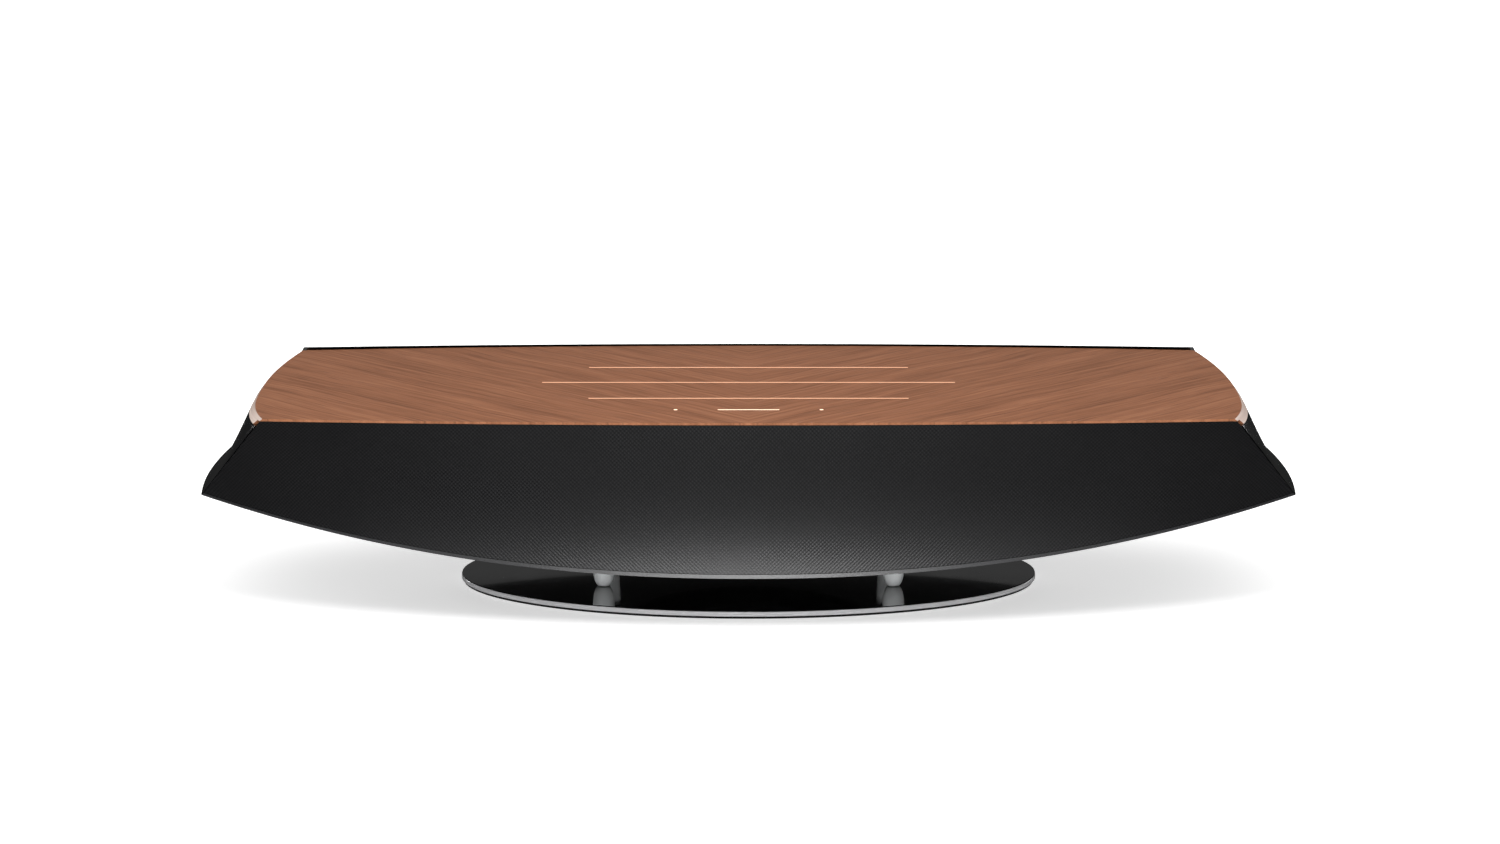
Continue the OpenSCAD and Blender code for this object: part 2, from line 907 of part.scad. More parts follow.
module heat_sink() {
    fins = 11;
    z0 = board_z + board_t + 3;
    color("silver")
    mirror([1, 0, 0])
    union() {
        translate([137, -2, z0]) cube([70, 30, 4]);
        for (i = [0:fins - 1])
            translate([137 + i * 68.4 / (fins - 1), -2, z0 + 3])
            cube([1.6, 30, 19]);
    }
}

module main_board() {
    color("seagreen")
    union() {
        difference() {
            translate([-66, main_board_y, bay_z0]) cube([105, board_t, bay_z1 - bay_z0]);
            translate([jack_x, 90, bay_mid_z]) rotate([-90, 0, 0]) cylinder(r = 4.3, h = 20);
        }
        translate([-16, main_board_y - 1.6, bay_z0 + 10]) cube([18, 2, 18]);
        translate([10, main_board_y - 1.2, bay_z0 + 12]) cube([12, 1.4, 12]);
        translate([-52, main_board_y - 2.4, bay_z0 + 8]) cube([16, 2.6, 22]);
        for (x = [standby_x, pairing_x])
            translate([x - 3, main_board_y + board_t - 0.2, bay_mid_z - 3])
            cube([6, 1.2, 6]);
    }
}

// ---- Connector bay ----

module connector_bay() {
    floor_back = bay_floor_y + bay_floor_t;
    color("black")
    difference() {
        translate([-bay_half_w - bay_wall, bay_floor_y, bay_z0 - bay_wall])
            cube([2 * (bay_half_w + bay_wall), 40, bay_z1 - bay_z0 + 2 * bay_wall]);
        translate([-bay_half_w, floor_back, bay_z0])
            cube([2 * bay_half_w, 60, bay_z1 - bay_z0]);
        skin(function(w, h, t) back_point(-w, h, t), steps(52, -1, 1), steps(14), -30, wall_t + 0.2);
        translate([inlet_x - 10.3, 90, bay_mid_z - 6.8]) cube([20.6, 30, 13.6]);
        translate([ethernet_x - 8.3, 90, bay_mid_z - 7]) cube([16.6, 30, 14]);
        translate([hdmi_x - 7.8, 90, bay_mid_z - 3.3]) cube([15.6, 30, 6.6]);
        translate([jack_x, 90, bay_mid_z]) rotate([-90, 0, 0]) cylinder(r = 4.3, h = 30);
        for (x = [standby_x, pairing_x])
            translate([x, 90, bay_mid_z]) rotate([-90, 0, 0]) cylinder(r = button_r + 0.3, h = 30);
    }
}

module mains_inlet() {
    mouth = bay_floor_y + bay_floor_t + 1;
    color("black")
    translate([inlet_x, 0, bay_mid_z]) {
        difference() {
            union() {
                translate([-10, 86, -6.5]) cube([20, mouth - 86, 13]);
                translate([-12, bay_floor_y - 2.2, -8.5]) cube([24, 2, 17]);
            }
            for (side = [-1, 1])
                translate([side * 3.6, 91, 0]) rotate([-90, 0, 0]) cylinder(r = 3.9, h = 30);
            translate([-3.6, 91, -3.9]) cube([7.2, 30, 7.8]);
        }
        for (side = [-1, 1])
            translate([side * 4.3, 90.5, 0]) rotate([-90, 0, 0]) cylinder(r = 1.2, h = 10);
    }
}

// Shielded socket on the main board, open towards the back
module socket_box(w, h, wall) {
    y0 = main_board_y + board_t;
    y1 = bay_floor_y + bay_floor_t + 0.5;
    difference() {
        translate([-w / 2, y0, -h / 2]) cube([w, y1 - y0, h]);
        translate([-w / 2 + wall, y0 + 1.2, -h / 2 + wall]) cube([w - 2 * wall, 30, h - 2 * wall]);
    }
}

module hdmi_socket() {
    color("silver") translate([hdmi_x, 0, bay_mid_z]) socket_box(15, 6, 0.7);
}

module ethernet_socket() {
    color("silver") translate([ethernet_x, 0, bay_mid_z]) socket_box(16, 13.4, 1.6);
}

module line_in_jack() {
    y1 = bay_floor_y + bay_floor_t + 0.5;
    y0 = y1 - 14.5;
    color("black")
    translate([jack_x, 0, bay_mid_z])
    difference() {
        union() {
            translate([0, y0, 0]) rotate([-90, 0, 0]) cylinder(r = 4, h = y1 - y0);
            translate([-5, main_board_y + board_t, -5])
                cube([10, bay_floor_y - 0.3 - main_board_y - board_t, 10]);
        }
        translate([0, y0 - 1, 0]) rotate([-90, 0, 0]) cylinder(r = jack_r, h = 30);
    }
}

// Cap with a collar that keeps it behind the bay's floor, and a stem over its switch
module push_button(x) {
    outer = bay_floor_y + bay_floor_t + 1.6;
    color("gainsboro")
    translate([x, 0, bay_mid_z])
    rotate([-90, 0, 0])
    union() {
        translate([0, 0, bay_floor_y - 1.4]) cylinder(r = button_r, h = outer - bay_floor_y + 1.4);
        translate([0, 0, bay_floor_y - 1.4]) cylinder(r = button_r + 1.2, h = 1);
        translate([0, 0, main_board_y + board_t + 1.9]) cylinder(r = 1.2, h = 5);
    }
}

// ---- Base ----

function oval(a, b, n) = [for (i = [0:n - 1]) [a * cos(i * 360 / n), b * sin(i * 360 / n)]];

module oval_slab(inset, z0, z1) {
    translate([0, 0, z0])
    linear_extrude(z1 - z0)
    polygon(oval(base_w / 2 - inset, base_d / 2 - inset, 120));
}

module at_columns() {
    for (x = [-column_x, column_x], y = [-column_y, column_y])
        translate([x, y, 0])
        children();
}

module base_plate() {
    color("black")
    difference() {
        union() {
            oval_slab(rim_w + 0.1, foot_t, base_top_z);
            oval_slab(0.3, base_top_z - plate_lip_t, base_top_z);
        }
        at_columns() {
            cylinder(r = 2.6, h = 20);
            cylinder(r = 5, h = foot_t + 1.8);
        }
    }
}

module base_rim() {
    color("silver")
    difference() {
        oval_slab(0, foot_t, base_top_z - plate_lip_t - 0.05);
        oval_slab(rim_w, 0, 20);
    }
}

module foot_ring() {
    color("darkslategray")
    difference() {
        oval_slab(foot_inset, 0, foot_t);
        oval_slab(foot_inset + foot_w, -1, foot_t + 1);
    }
}

module base_columns() {
    color("lightgray")
    at_columns()
    rotate_extrude()
        polygon([
            [2.6, base_top_z], [3.9, base_top_z], [6.6, base_top_z + 7],
            [7.5, column_top_z], [2.6, column_top_z]
        ]);
}

// ---- Fasteners ----

// Pan-head screw that points up, with the underside of its head at z0
module screw(z0, r, length, head_r, head_h) {
    translate([0, 0, z0 - head_h]) cylinder(r = head_r, h = head_h);
    translate([0, 0, z0 - 0.1]) cylinder(r = r, h = length + 0.1);
}

module base_screws() {
    color("silver")
    at_columns()
    screw(foot_t + 1.8, 2.45, column_top_z + 5 - foot_t - 1.8, 4.7, 1.7);
}

module case_screws() {
    color("silver")
    for (side = [-1, 1], post = case_posts)
        translate([side * post.x, post.y, 0])
        screw(rim_z(post.x) + 1.2, 1.5, 16, 3.2, 1.2);
}

module driver_screws() {
    color("silver") {
        on_seat()
            for (a = [0:woofer_screws - 1])
                rotate([0, 0, (a + 0.5) * 360 / woofer_screws])
                translate([woofer_screw_r, 0, 0])
                screw(-flange_t(woofer_r), 1.5, 6, 3, 1.8);
        for (side = [-1, 1]) {
            on_baffle(side * mid_x)
                for (a = [45:90:315])
                    rotate([0, 0, a])
                    translate([mid_r + 1.5, 0, 0])
                    screw(-baffle_t - flange_t(mid_r), 1.5, 5, 2.5, 1.6);
            on_baffle(side * tweeter_x)
                for (a = [90:120:330])
                    rotate([0, 0, a])
                    translate([tweeter_r - 3, 0, 0])
                    screw(-baffle_t - 3, 1.2, 6, 2.2, 1.4);
        }
        end_screws();
        mirror([1, 0, 0]) end_screws();
    }
}

module end_screws() {
    on_end()
    for (a = [45:90:315])
        rotate([0, 0, a])
        translate([side_r + 1.5, 0, 0])
        screw(-side_back - flange_t(side_r), 1.1, 3.6, 2.4, 1.4);
}

wood_top();
inlay_strips();
light_bar();
touch_dot_lights();
touch_board();
top_chassis();
grille_cloth();
grille_frame();
grille_trim();
front_baffle();
mirror([1, 0, 0]) end_cap();  // end_cap_left
end_cap();  // end_cap_right
mirror([1, 0, 0]) side_grille();  // side_grille_left
side_grille();  // side_grille_right
rear_shell();
lower_shell();
woofer_basket();
woofer_motor();
woofer_gasket();
woofer_surround();
woofer_spider();
woofer_cone();
woofer_voice_coil();
mid_basket(-1);  // mid_basket_left
mid_motor(-1);  // mid_motor_left
mid_surround(-1);  // mid_surround_left
mid_cone(-1);  // mid_cone_left
mid_basket(1);  // mid_basket_right
mid_motor(1);  // mid_motor_right
mid_surround(1);  // mid_surround_right
mid_cone(1);  // mid_cone_right
tweeter_body(-1);  // tweeter_body_left
tweeter_dome(-1);  // tweeter_dome_left
tweeter_body(1);  // tweeter_body_right
tweeter_dome(1);  // tweeter_dome_right
mirror([1, 0, 0]) side_basket();  // side_basket_left
mirror([1, 0, 0]) side_surround();  // side_surround_left
mirror([1, 0, 0]) side_cone();  // side_cone_left
side_basket();  // side_basket_right
side_surround();  // side_surround_right
side_cone();  // side_cone_right
amplifier_board();
heat_sink();
power_board();
main_board();
connector_bay();
mains_inlet();
hdmi_socket();
ethernet_socket();
line_in_jack();
push_button(standby_x);  // standby_button
push_button(pairing_x);  // pairing_button
base_plate();
base_rim();
foot_ring();
base_columns();
base_screws();
case_screws();
driver_screws();
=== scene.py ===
"""Looks of a wireless speaker: a long flared body with a wood top, floating over a thin oval base.

Lengths are in metres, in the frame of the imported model: the front faces -Y and +Z is up.
"""

import json
import math

import bmesh
import bpy
import numpy as np
from mathutils import Matrix, Vector


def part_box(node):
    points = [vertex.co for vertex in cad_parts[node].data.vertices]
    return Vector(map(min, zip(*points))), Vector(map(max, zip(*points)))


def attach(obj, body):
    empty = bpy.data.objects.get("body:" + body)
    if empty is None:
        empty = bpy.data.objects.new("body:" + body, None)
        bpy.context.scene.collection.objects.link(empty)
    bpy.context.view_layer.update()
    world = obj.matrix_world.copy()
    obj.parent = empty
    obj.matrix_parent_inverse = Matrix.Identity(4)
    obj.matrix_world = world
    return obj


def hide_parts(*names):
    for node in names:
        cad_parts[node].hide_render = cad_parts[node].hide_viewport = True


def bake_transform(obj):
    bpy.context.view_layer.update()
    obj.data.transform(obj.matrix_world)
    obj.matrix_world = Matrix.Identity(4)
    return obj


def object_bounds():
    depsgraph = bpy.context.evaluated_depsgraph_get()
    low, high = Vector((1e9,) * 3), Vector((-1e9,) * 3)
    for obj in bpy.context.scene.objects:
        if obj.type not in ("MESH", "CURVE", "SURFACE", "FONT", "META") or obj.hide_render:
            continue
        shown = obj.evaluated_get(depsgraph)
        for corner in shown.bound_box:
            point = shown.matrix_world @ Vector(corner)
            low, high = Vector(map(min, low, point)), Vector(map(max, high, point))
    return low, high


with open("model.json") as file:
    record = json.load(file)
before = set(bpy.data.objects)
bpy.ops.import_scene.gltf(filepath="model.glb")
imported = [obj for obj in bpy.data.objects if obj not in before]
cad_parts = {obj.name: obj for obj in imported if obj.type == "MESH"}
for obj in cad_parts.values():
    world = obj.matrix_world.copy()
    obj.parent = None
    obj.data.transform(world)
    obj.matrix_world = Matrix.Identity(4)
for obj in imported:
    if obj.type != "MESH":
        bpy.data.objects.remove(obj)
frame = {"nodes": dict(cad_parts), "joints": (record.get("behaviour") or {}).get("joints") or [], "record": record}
cad_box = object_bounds()
nodes = frame["nodes"]
body_of_node = {n: body for body, names in frame["record"]["behaviour"]["bodies"].items() for n in names}

MM = 0.001
WELD = 1e-6              # points closer than this are one point
CLEAR = 10 * MM          # a cutter's reach, well past the panel that it cuts
SIDES = {"left": -1, "right": 1}

# ---- Driving sizes of the body ----

END_HALF = cad_box[1].x
BODY_H = cad_box[1].z
CHIN_D = -cad_box[0].y
FRONT_SWELL = 4 * MM
BACK_SWELL = 3.2 * MM
RIM_HALF = END_HALF - FRONT_SWELL
RIM_MID_Y = -20 * MM
RIM_CORNER_Y = -90 * MM
RIM_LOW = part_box("grille_trim")[0].z
RIM_RISE = 39 * MM
CHIN_BOW = 50 * MM
RIM_BACK_Y = 118 * MM
RIM_BACK_CORNER_Y = 62 * MM
HOLLOW = 0.3
BACK_BULGE = 31.5 * MM
WALL_T = 2.6 * MM
CORNER_T = 2.2 * MM
GAP = 0.3 * MM

WOOD_T = 4 * MM
WOOD_FRONT_HALF = 285 * MM
WOOD_BACK_HALF = 282 * MM
WOOD_MID_HALF = 295 * MM
WOOD_FRONT_Y = -110 * MM
WOOD_FRONT_BOW = 10 * MM
WOOD_MID_Y = -25 * MM
WOOD_BACK_Y = 95 * MM
WOOD_BACK_BOW = 13 * MM
WOOD_CORNER_Y = WOOD_FRONT_Y + WOOD_FRONT_BOW
WOOD_BACK_CORNER_Y = WOOD_BACK_Y - WOOD_BACK_BOW
BEVEL_FRONT = 4.5 * MM
BEVEL_END = 3 * MM
BEVEL_FADE = 60 * MM
FRONT_REVEAL = 1.6 * MM
TOP_TILT = math.radians(2.8)
REAR_LIP_H = 0.8 * MM
TOP_MID_Z = BODY_H - REAR_LIP_H - WOOD_BACK_Y * math.tan(TOP_TILT)

CLOTH_T = 0.8 * MM
FRONT_T = 3.4 * MM
TRIM_SHARE = 0.024
TRIM_GAP_SHARE = 0.003

# ---- Surfaces of the body, as functions of numpy arrays ----


def lerp(a, b, t):
    return a + (b - a) * t


def point(x, y, z):
    """Array of points from arrays of their coordinates."""
    return np.stack(np.broadcast_arrays(x, y, z), axis=-1)


def top_z(y):
    """Height of the wood panel's upper face."""
    return TOP_MID_Z + y * math.tan(TOP_TILT)


def rim_z(x):
    """Height of the lower rim."""
    return RIM_LOW + RIM_RISE * (np.abs(x) / RIM_HALF) ** 2.2


def spread(w):
    """Share of the half width for a step of -1 to 1, closer together near the ends."""
    return 1.25 * w - 0.25 * w**5


def flare(h, c):
    """Share of the flare reached at a share of the height, hollower as c grows."""
    return (1 - c) * h + c * h**4


def wood_end_x(y):
    """Half width of the wood panel at y."""
    front = np.clip((WOOD_MID_Y - y) / (WOOD_MID_Y - WOOD_CORNER_Y), 0, None)
    back = np.clip((y - WOOD_MID_Y) / (WOOD_BACK_CORNER_Y - WOOD_MID_Y), 0, None)
    narrower = (WOOD_MID_HALF - WOOD_FRONT_HALF) * front**3
    return WOOD_MID_HALF - narrower - (WOOD_MID_HALF - WOOD_BACK_HALF) * back**2


def bevel(y):
    """Lean of the wood panel's end edge at y."""
    return lerp(BEVEL_FRONT, BEVEL_END, np.clip((y - WOOD_CORNER_Y) / BEVEL_FADE, 0, 1))


def end_rim_x(y):
    """Half width of the lower rim at y."""
    before = np.clip((RIM_MID_Y - y) / (RIM_MID_Y - RIM_CORNER_Y), 0, None)
    behind = np.clip((y - RIM_MID_Y) / (RIM_BACK_CORNER_Y - RIM_MID_Y), 0, None)
    return END_HALF - FRONT_SWELL * before**2 - BACK_SWELL * behind**2


def front_point(w, h, t):
    """Front wall at width step w and height share h, t deep."""
    s = spread(w)
    top_y = WOOD_FRONT_Y + WOOD_FRONT_BOW * s**2
    low_y = -CHIN_D + CHIN_BOW * s**2
    top_x = s * (WOOD_FRONT_HALF + BEVEL_FRONT * FRONT_REVEAL / WOOD_T - GAP)
    low_x = s * (RIM_HALF - GAP)
    mitre = np.abs(w) ** 12 * np.sign(w)
    return point(
        lerp(top_x, low_x, h) - mitre * t,
        lerp(top_y, low_y, flare(h, HOLLOW * (1 - s**4))) + t,
        lerp(top_z(top_y) - FRONT_REVEAL, rim_z(low_x), h),
    )


def end_point(v, h, t):
    """Right end wall at depth step v and height share h, t deep."""
    top_y = lerp(WOOD_CORNER_Y + GAP, WOOD_BACK_CORNER_Y + WALL_T / 2 - GAP, v)
    low_y = lerp(RIM_CORNER_Y + GAP, RIM_BACK_CORNER_Y - GAP, v)
    top_x = wood_end_x(top_y) + bevel(top_y)
    low_x = end_rim_x(low_y)
    return point(
        lerp(top_x, low_x, flare(h, HOLLOW * (1 - (1 - v) ** 6))) - t,
        lerp(top_y, low_y, h) + t * ((1 - v) ** 12 - 0.5 * v**12),
        lerp(top_z(top_y) - WOOD_T - 0.1 * MM, rim_z(low_x), h),
    )


def back_point(w, h, t):
    """Rear wall at width step w and height share h, t deep."""
    s = spread(w)
    turn = np.abs(w) ** 8
    out = WALL_T * (1 - turn / 2) + CORNER_T * turn
    top_y = WOOD_BACK_Y + GAP + out - WOOD_BACK_BOW * s**2
    low_y = lerp(RIM_BACK_Y, RIM_BACK_CORNER_Y + GAP, np.abs(w) ** 5)
    low_x = s * (END_HALF - BACK_SWELL)
    bulge = BACK_BULGE * (1 - w**4) * np.sin(math.pi * h)
    return point(
        lerp(s * WOOD_BACK_HALF, low_x, flare(h, HOLLOW * turn)) - np.sign(w) * turn * t,
        lerp(top_y, low_y, h) + bulge - (1 - 0.5 * turn) * t,
        lerp(BODY_H, rim_z(low_x), h),
    )


# ---- Mesh helpers ----


def added(name, data):
    """Object of a mesh, camera or light, put into the scene."""
    made = bpy.data.objects.new(name, data)
    bpy.context.scene.collection.objects.link(made)
    return made


def mesh_from(bm, name):
    """Mesh of a bmesh, which is used up."""
    mesh = bpy.data.meshes.new(name)
    bm.to_mesh(mesh)
    bm.free()
    return mesh


def welded(node):
    """Bmesh of a CAD node, with the points that coincide merged."""
    bm = bmesh.new()
    bm.from_mesh(nodes[node].data)
    bmesh.ops.remove_doubles(bm, verts=bm.verts, dist=WELD)
    return bm


def new_piece(name, verts, faces):
    """Object from points and faces, with its normals turned outwards."""
    mesh = bpy.data.meshes.new(name)
    mesh.from_pydata([tuple(v) for v in verts], [], faces)
    bm = bmesh.new()
    bm.from_mesh(mesh)
    bmesh.ops.recalc_face_normals(bm, faces=bm.faces)
    bm.to_mesh(mesh)
    bm.free()
    mesh.shade_smooth()
    return added(name, mesh)


def shell(name, surface, us, vs, t0, t1):
    """Closed shell between two depths of a surface, with UVs in metres along it."""
    u, v = np.meshgrid(us, vs)
    outer, inner = surface(u, v, t0), surface(u, v, t1)
    rows, cols = u.shape
    count = rows * cols
    at = np.arange(count).reshape(rows, cols)
    quads = np.stack([at[:-1, :-1], at[:-1, 1:], at[1:, 1:], at[1:, :-1]], axis=-1).reshape(-1, 4)
    border = np.concatenate([at[0, :-1], at[:-1, -1], at[-1, :0:-1], at[:0:-1, 0]])
    after = np.roll(border, -1)
    walls = np.stack([after, border, border + count, after + count], axis=-1)
    faces = np.concatenate([quads, quads[:, ::-1] + count, walls]).tolist()
    piece = new_piece(name, np.concatenate([outer.reshape(-1, 3), inner.reshape(-1, 3)]), faces)
    lay_uv(piece.data, outer, count)
    return piece


def lay_uv(mesh, grid, count):
    """UVs that measure along a grid of points from its middle column and its first row."""
    across = np.linalg.norm(np.diff(grid, axis=1), axis=2)
    along = np.linalg.norm(np.diff(grid, axis=0), axis=2)
    u = np.pad(np.cumsum(across, axis=1), ((0, 0), (1, 0)))
    u = u - u[:, grid.shape[1] // 2][:, None]
    v = np.pad(np.cumsum(along, axis=0), ((1, 0), (0, 0)))
    flat = np.stack([u, v], axis=-1).reshape(-1, 2)
    index = np.zeros(len(mesh.loops), np.int32)
    mesh.loops.foreach_get("vertex_index", index)
    layer = mesh.uv_layers.new(name="along")
    layer.data.foreach_set("uv", flat[index % count].astype(np.float32).ravel())


def loft(name, low, high, capped=True):
    """Walls between two outlines of (x, y, z) points, and the faces that close them."""
    count = len(low)
    walls = [(i, (i + 1) % count, (i + 1) % count + count, i + count) for i in range(count)]
    caps = [list(range(count)), list(range(count, 2 * count))] if capped else []
    return new_piece(name, low + high, walls + caps)


def level(outline, z):
    """Points of an (x, y) outline at one height."""
    return [(x, y, z) for x, y in outline]


def prism(name, outline, z0, z1):
    """Upright prism over a closed outline of (x, y) points."""
    return loft(name, level(outline, z0), level(outline, z1))


def circle(x, y, radius, count=64):
    angles = [2 * math.pi * i / count for i in range(count)]
    return [(x + radius * math.cos(a), y + radius * math.sin(a)) for a in angles]


def box_outline(x, y, width, depth):
    return [(x + sx * width / 2, y + sy * depth / 2) for sx, sy in ((-1, -1), (1, -1), (1, 1), (-1, 1))]


def merged(name, pieces):
    """One object from several, which it takes the place of."""
    bm = bmesh.new()
    for piece in pieces:
        part = piece.data.copy()
        part.transform(piece.matrix_world)
        bm.from_mesh(part)
        bpy.data.meshes.remove(part)
        bpy.data.objects.remove(piece)
    return added(name, mesh_from(bm, name))


def settle(piece):
    """Applies the modifiers of a piece."""
    bpy.context.view_layer.update()
    solved = bpy.data.meshes.new_from_object(piece.evaluated_get(bpy.context.evaluated_depsgraph_get()))
    piece.modifiers.clear()
    piece.data = solved


def combine(piece, other, operation):
    """Boolean of a piece with another, which is used up."""
    change = piece.modifiers.new("combine", "BOOLEAN")
    change.object = other
    change.operation = operation
    change.solver = "EXACT"
    settle(piece)
    bpy.data.objects.remove(other)


def cut(piece, cutter):
    combine(piece, cutter, "DIFFERENCE")


def join(piece, other):
    combine(piece, other, "UNION")


def ease_edges(piece, width, angle=35, segments=3):
    """Rounds the edges that turn by more than an angle, and shades the flats flat."""
    rounding = piece.modifiers.new("rounding", "BEVEL")
    rounding.width = width
    rounding.segments = segments
    rounding.limit_method = "ANGLE"
    rounding.angle_limit = math.radians(angle)
    piece.modifiers.new("normals", "WEIGHTED_NORMAL").keep_sharp = True


def place(piece, node):
    """Puts a piece on the body of the CAD node that it stands for."""
    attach(piece, body_of_node[node])
    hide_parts(node)


def paint(piece, *materials):
    """Gives a piece these materials and no others."""
    piece.data.materials.clear()
    for material in materials:
        piece.data.materials.append(material)


def carry(node, finish, width):
    """Copy of a CAD node with merged faces and eased edges, which stands for it."""
    bm = welded(node)
    bmesh.ops.dissolve_limit(bm, angle_limit=math.radians(0.5), verts=bm.verts, edges=bm.edges)
    bmesh.ops.recalc_face_normals(bm, faces=bm.faces)
    piece = added(node + "_eased", mesh_from(bm, node + "_eased"))
    piece.data.shade_smooth()
    ease_edges(piece, width, segments=2)
    place(piece, node)
    paint(piece, finishes[finish])


def dress(finish, *node_names):
    """Gives CAD nodes that keep their shape a better material."""
    for node in node_names:
        for slot in nodes[node].material_slots:
            slot.material = finishes[finish]


# ---- Material helpers ----


def srgb(r, g, b):
    """Linear colour from display values of 0 to 255."""
    shares = [c / 255 for c in (r, g, b)]
    return tuple([s / 12.92 if s <= 0.04045 else ((s + 0.055) / 1.055) ** 2.4 for s in shares]) + (1.0,)


def grey(level):
    return srgb(level, level, level)


class Finish:
    """A Principled material and the few node types that the finishes are made of."""

    def __init__(self, name, **constants):
        self.material = bpy.data.materials.new(name)
        self.material.use_nodes = True
        self.tree = self.material.node_tree
        self.shader = self.tree.nodes["Principled BSDF"]
        for socket, value in constants.items():
            self.shader.inputs[socket.replace("_", " ")].default_value = value

    def put(self, value, socket):
        if isinstance(value, bpy.types.NodeSocket):
            self.tree.links.new(value, socket)
        else:
            socket.default_value = value

    def node(self, kind, **inputs):
        made = self.tree.nodes.new("ShaderNode" + kind)
        for name, value in inputs.items():
            self.put(value, made.inputs[name.replace("_", " ")])
        return made

    def math(self, operation, *values):
        made = self.tree.nodes.new("ShaderNodeMath")
        made.operation = operation
        for socket, value in zip(made.inputs, values):
            self.put(value, socket)
        return made.outputs[0]

    def place(self):
        """The point in the piece's own frame, split into x, y and z."""
        return self.node("SeparateXYZ", Vector=self.point()).outputs

    def point(self):
        return self.node("TexCoord").outputs["Object"]

    def noise(self, vector, scale, detail=2.0, roughness=0.5):
        made = self.node("TexNoise", Vector=vector, Scale=scale, Detail=detail, Roughness=roughness)
        return made.outputs[0]

    def range(self, value, low, high, new_low, new_high):
        made = self.node("MapRange", Value=value)
        for socket, number in zip(made.inputs[1:5], (low, high, new_low, new_high)):
            socket.default_value = number
        return made.outputs[0]

    def ramp(self, value, *stops):
        """Colour along a ramp of (place, colour) stops."""
        made = self.node("ValToRGB", Fac=value)
        points = made.color_ramp.elements
        while len(points) < len(stops):
            points.new(1.0)
        for element, (position, colour) in zip(points, stops):
            element.position = position
            element.color = colour
        return made.outputs[0]

    def blend(self, share, a, b):
        made = self.tree.nodes.new("ShaderNodeMix")
        made.data_type = "RGBA"
        for index, value in ((0, share), (6, a), (7, b)):
            self.put(value, made.inputs[index])
        return made.outputs[2]

    def bump(self, height, distance, strength=1.0):
        made = self.node("Bump", Height=height, Distance=distance, Strength=strength)
        self.put(made.outputs[0], self.shader.inputs["Normal"])

    def set(self, **sockets):
        for socket, value in sockets.items():
            self.put(value, self.shader.inputs[socket.replace("_", " ")])
        return self.material


# ---- Finishes ----

GRAIN_ANGLE = math.radians(42)


def veneer_finish():
    """Walnut veneer laid in two mirrored leaves, so that the grain meets in a V at the middle."""
    f = Finish("walnut_veneer", Specular_IOR_Level=0.15)
    x, y, _ = f.place()
    side = f.math("ABSOLUTE", x)
    cos, sin = math.cos(GRAIN_ANGLE), math.sin(GRAIN_ANGLE)
    along = f.math("ADD", f.math("MULTIPLY", side, cos), f.math("MULTIPLY", y, sin))
    across = f.math("SUBTRACT", f.math("MULTIPLY", y, cos), f.math("MULTIPLY", side, sin))
    wander = f.noise(f.node("CombineXYZ", X=along, Y=across).outputs[0], 9.0, 2.0)
    across = f.math("ADD", across, f.math("MULTIPLY", wander, 0.012))

    def streaks(length_scale, width_scale, detail):
        long = f.math("MULTIPLY", along, length_scale)
        wide = f.math("MULTIPLY", across, width_scale)
        stretched = f.node("CombineXYZ", X=long, Y=wide)
        return f.noise(stretched.outputs[0], 1.0, detail, 0.6)

    figure = streaks(4.0, 90.0, 2.0)
    fine = streaks(14.0, 420.0, 3.0)
    pores = f.range(streaks(45.0, 900.0, 1.0), 0.58, 0.72, 0.0, 1.0)
    tone = f.math("ADD", f.math("MULTIPLY", figure, 0.38), f.math("MULTIPLY", fine, 0.62))
    colour = f.ramp(
        tone,
        (0.30, srgb(103, 64, 43)),
        (0.44, srgb(126, 81, 55)),
        (0.54, srgb(138, 90, 63)),
        (0.68, srgb(154, 104, 74)),
    )
    dark = f.blend(f.math("MULTIPLY", pores, 0.5), colour, srgb(80, 50, 36))
    f.bump(f.math("SUBTRACT", fine, pores), 0.06 * MM, 0.6)
    return f.set(Base_Color=dark, Roughness=f.range(fine, 0.3, 0.7, 0.50, 0.38))


def edge_band_finish():
    """Pale edge band on the leaning ends of the wood panel."""
    f = Finish("pale_edge_band", Specular_IOR_Level=0.5)
    x, y, z = f.place()
    stretched = f.node("CombineXYZ", X=x, Y=f.math("MULTIPLY", y, 8.0), Z=f.math("MULTIPLY", z, 900.0))
    lines = f.noise(stretched.outputs[0], 1.0, 3.0)
    colour = f.ramp(lines, (0.3, srgb(178, 154, 142)), (0.7, srgb(206, 186, 174)))
    f.bump(lines, 0.03 * MM, 0.4)
    return f.set(Base_Color=colour, Roughness=f.range(lines, 0.3, 0.7, 0.35, 0.5))


def inlay_finish():
    """Pale copper inlay, brushed along its length, with a painted glow that brightens it though the copper is no
    lamp.
    """
    f = Finish("copper_inlay_painted_glow", Metallic=0.2, Emission_Color=srgb(250, 190, 150), Emission_Strength=0.45)
    x, y, _ = f.place()
    brushed = f.noise(f.node("CombineXYZ", X=x, Y=f.math("MULTIPLY", y, 260.0)).outputs[0], 14.0, 3.0)
    colour = f.ramp(brushed, (0.3, srgb(226, 164, 130)), (0.7, srgb(250, 200, 166)))
    f.bump(brushed, 0.02 * MM, 0.4)
    return f.set(Base_Color=colour, Roughness=f.range(brushed, 0.3, 0.7, 0.28, 0.42))


def light_finish():
    """Frosted light guide, lit from behind."""
    f = Finish("lit_guide", Roughness=0.4, Emission_Color=srgb(255, 214, 184), Emission_Strength=1.1)
    grain = f.noise(f.point(), 2600.0, 1.0)
    return f.set(Base_Color=f.ramp(grain, (0.3, srgb(250, 206, 178)), (0.7, srgb(255, 226, 204))))


KNIT_PITCH = 1.65 * MM


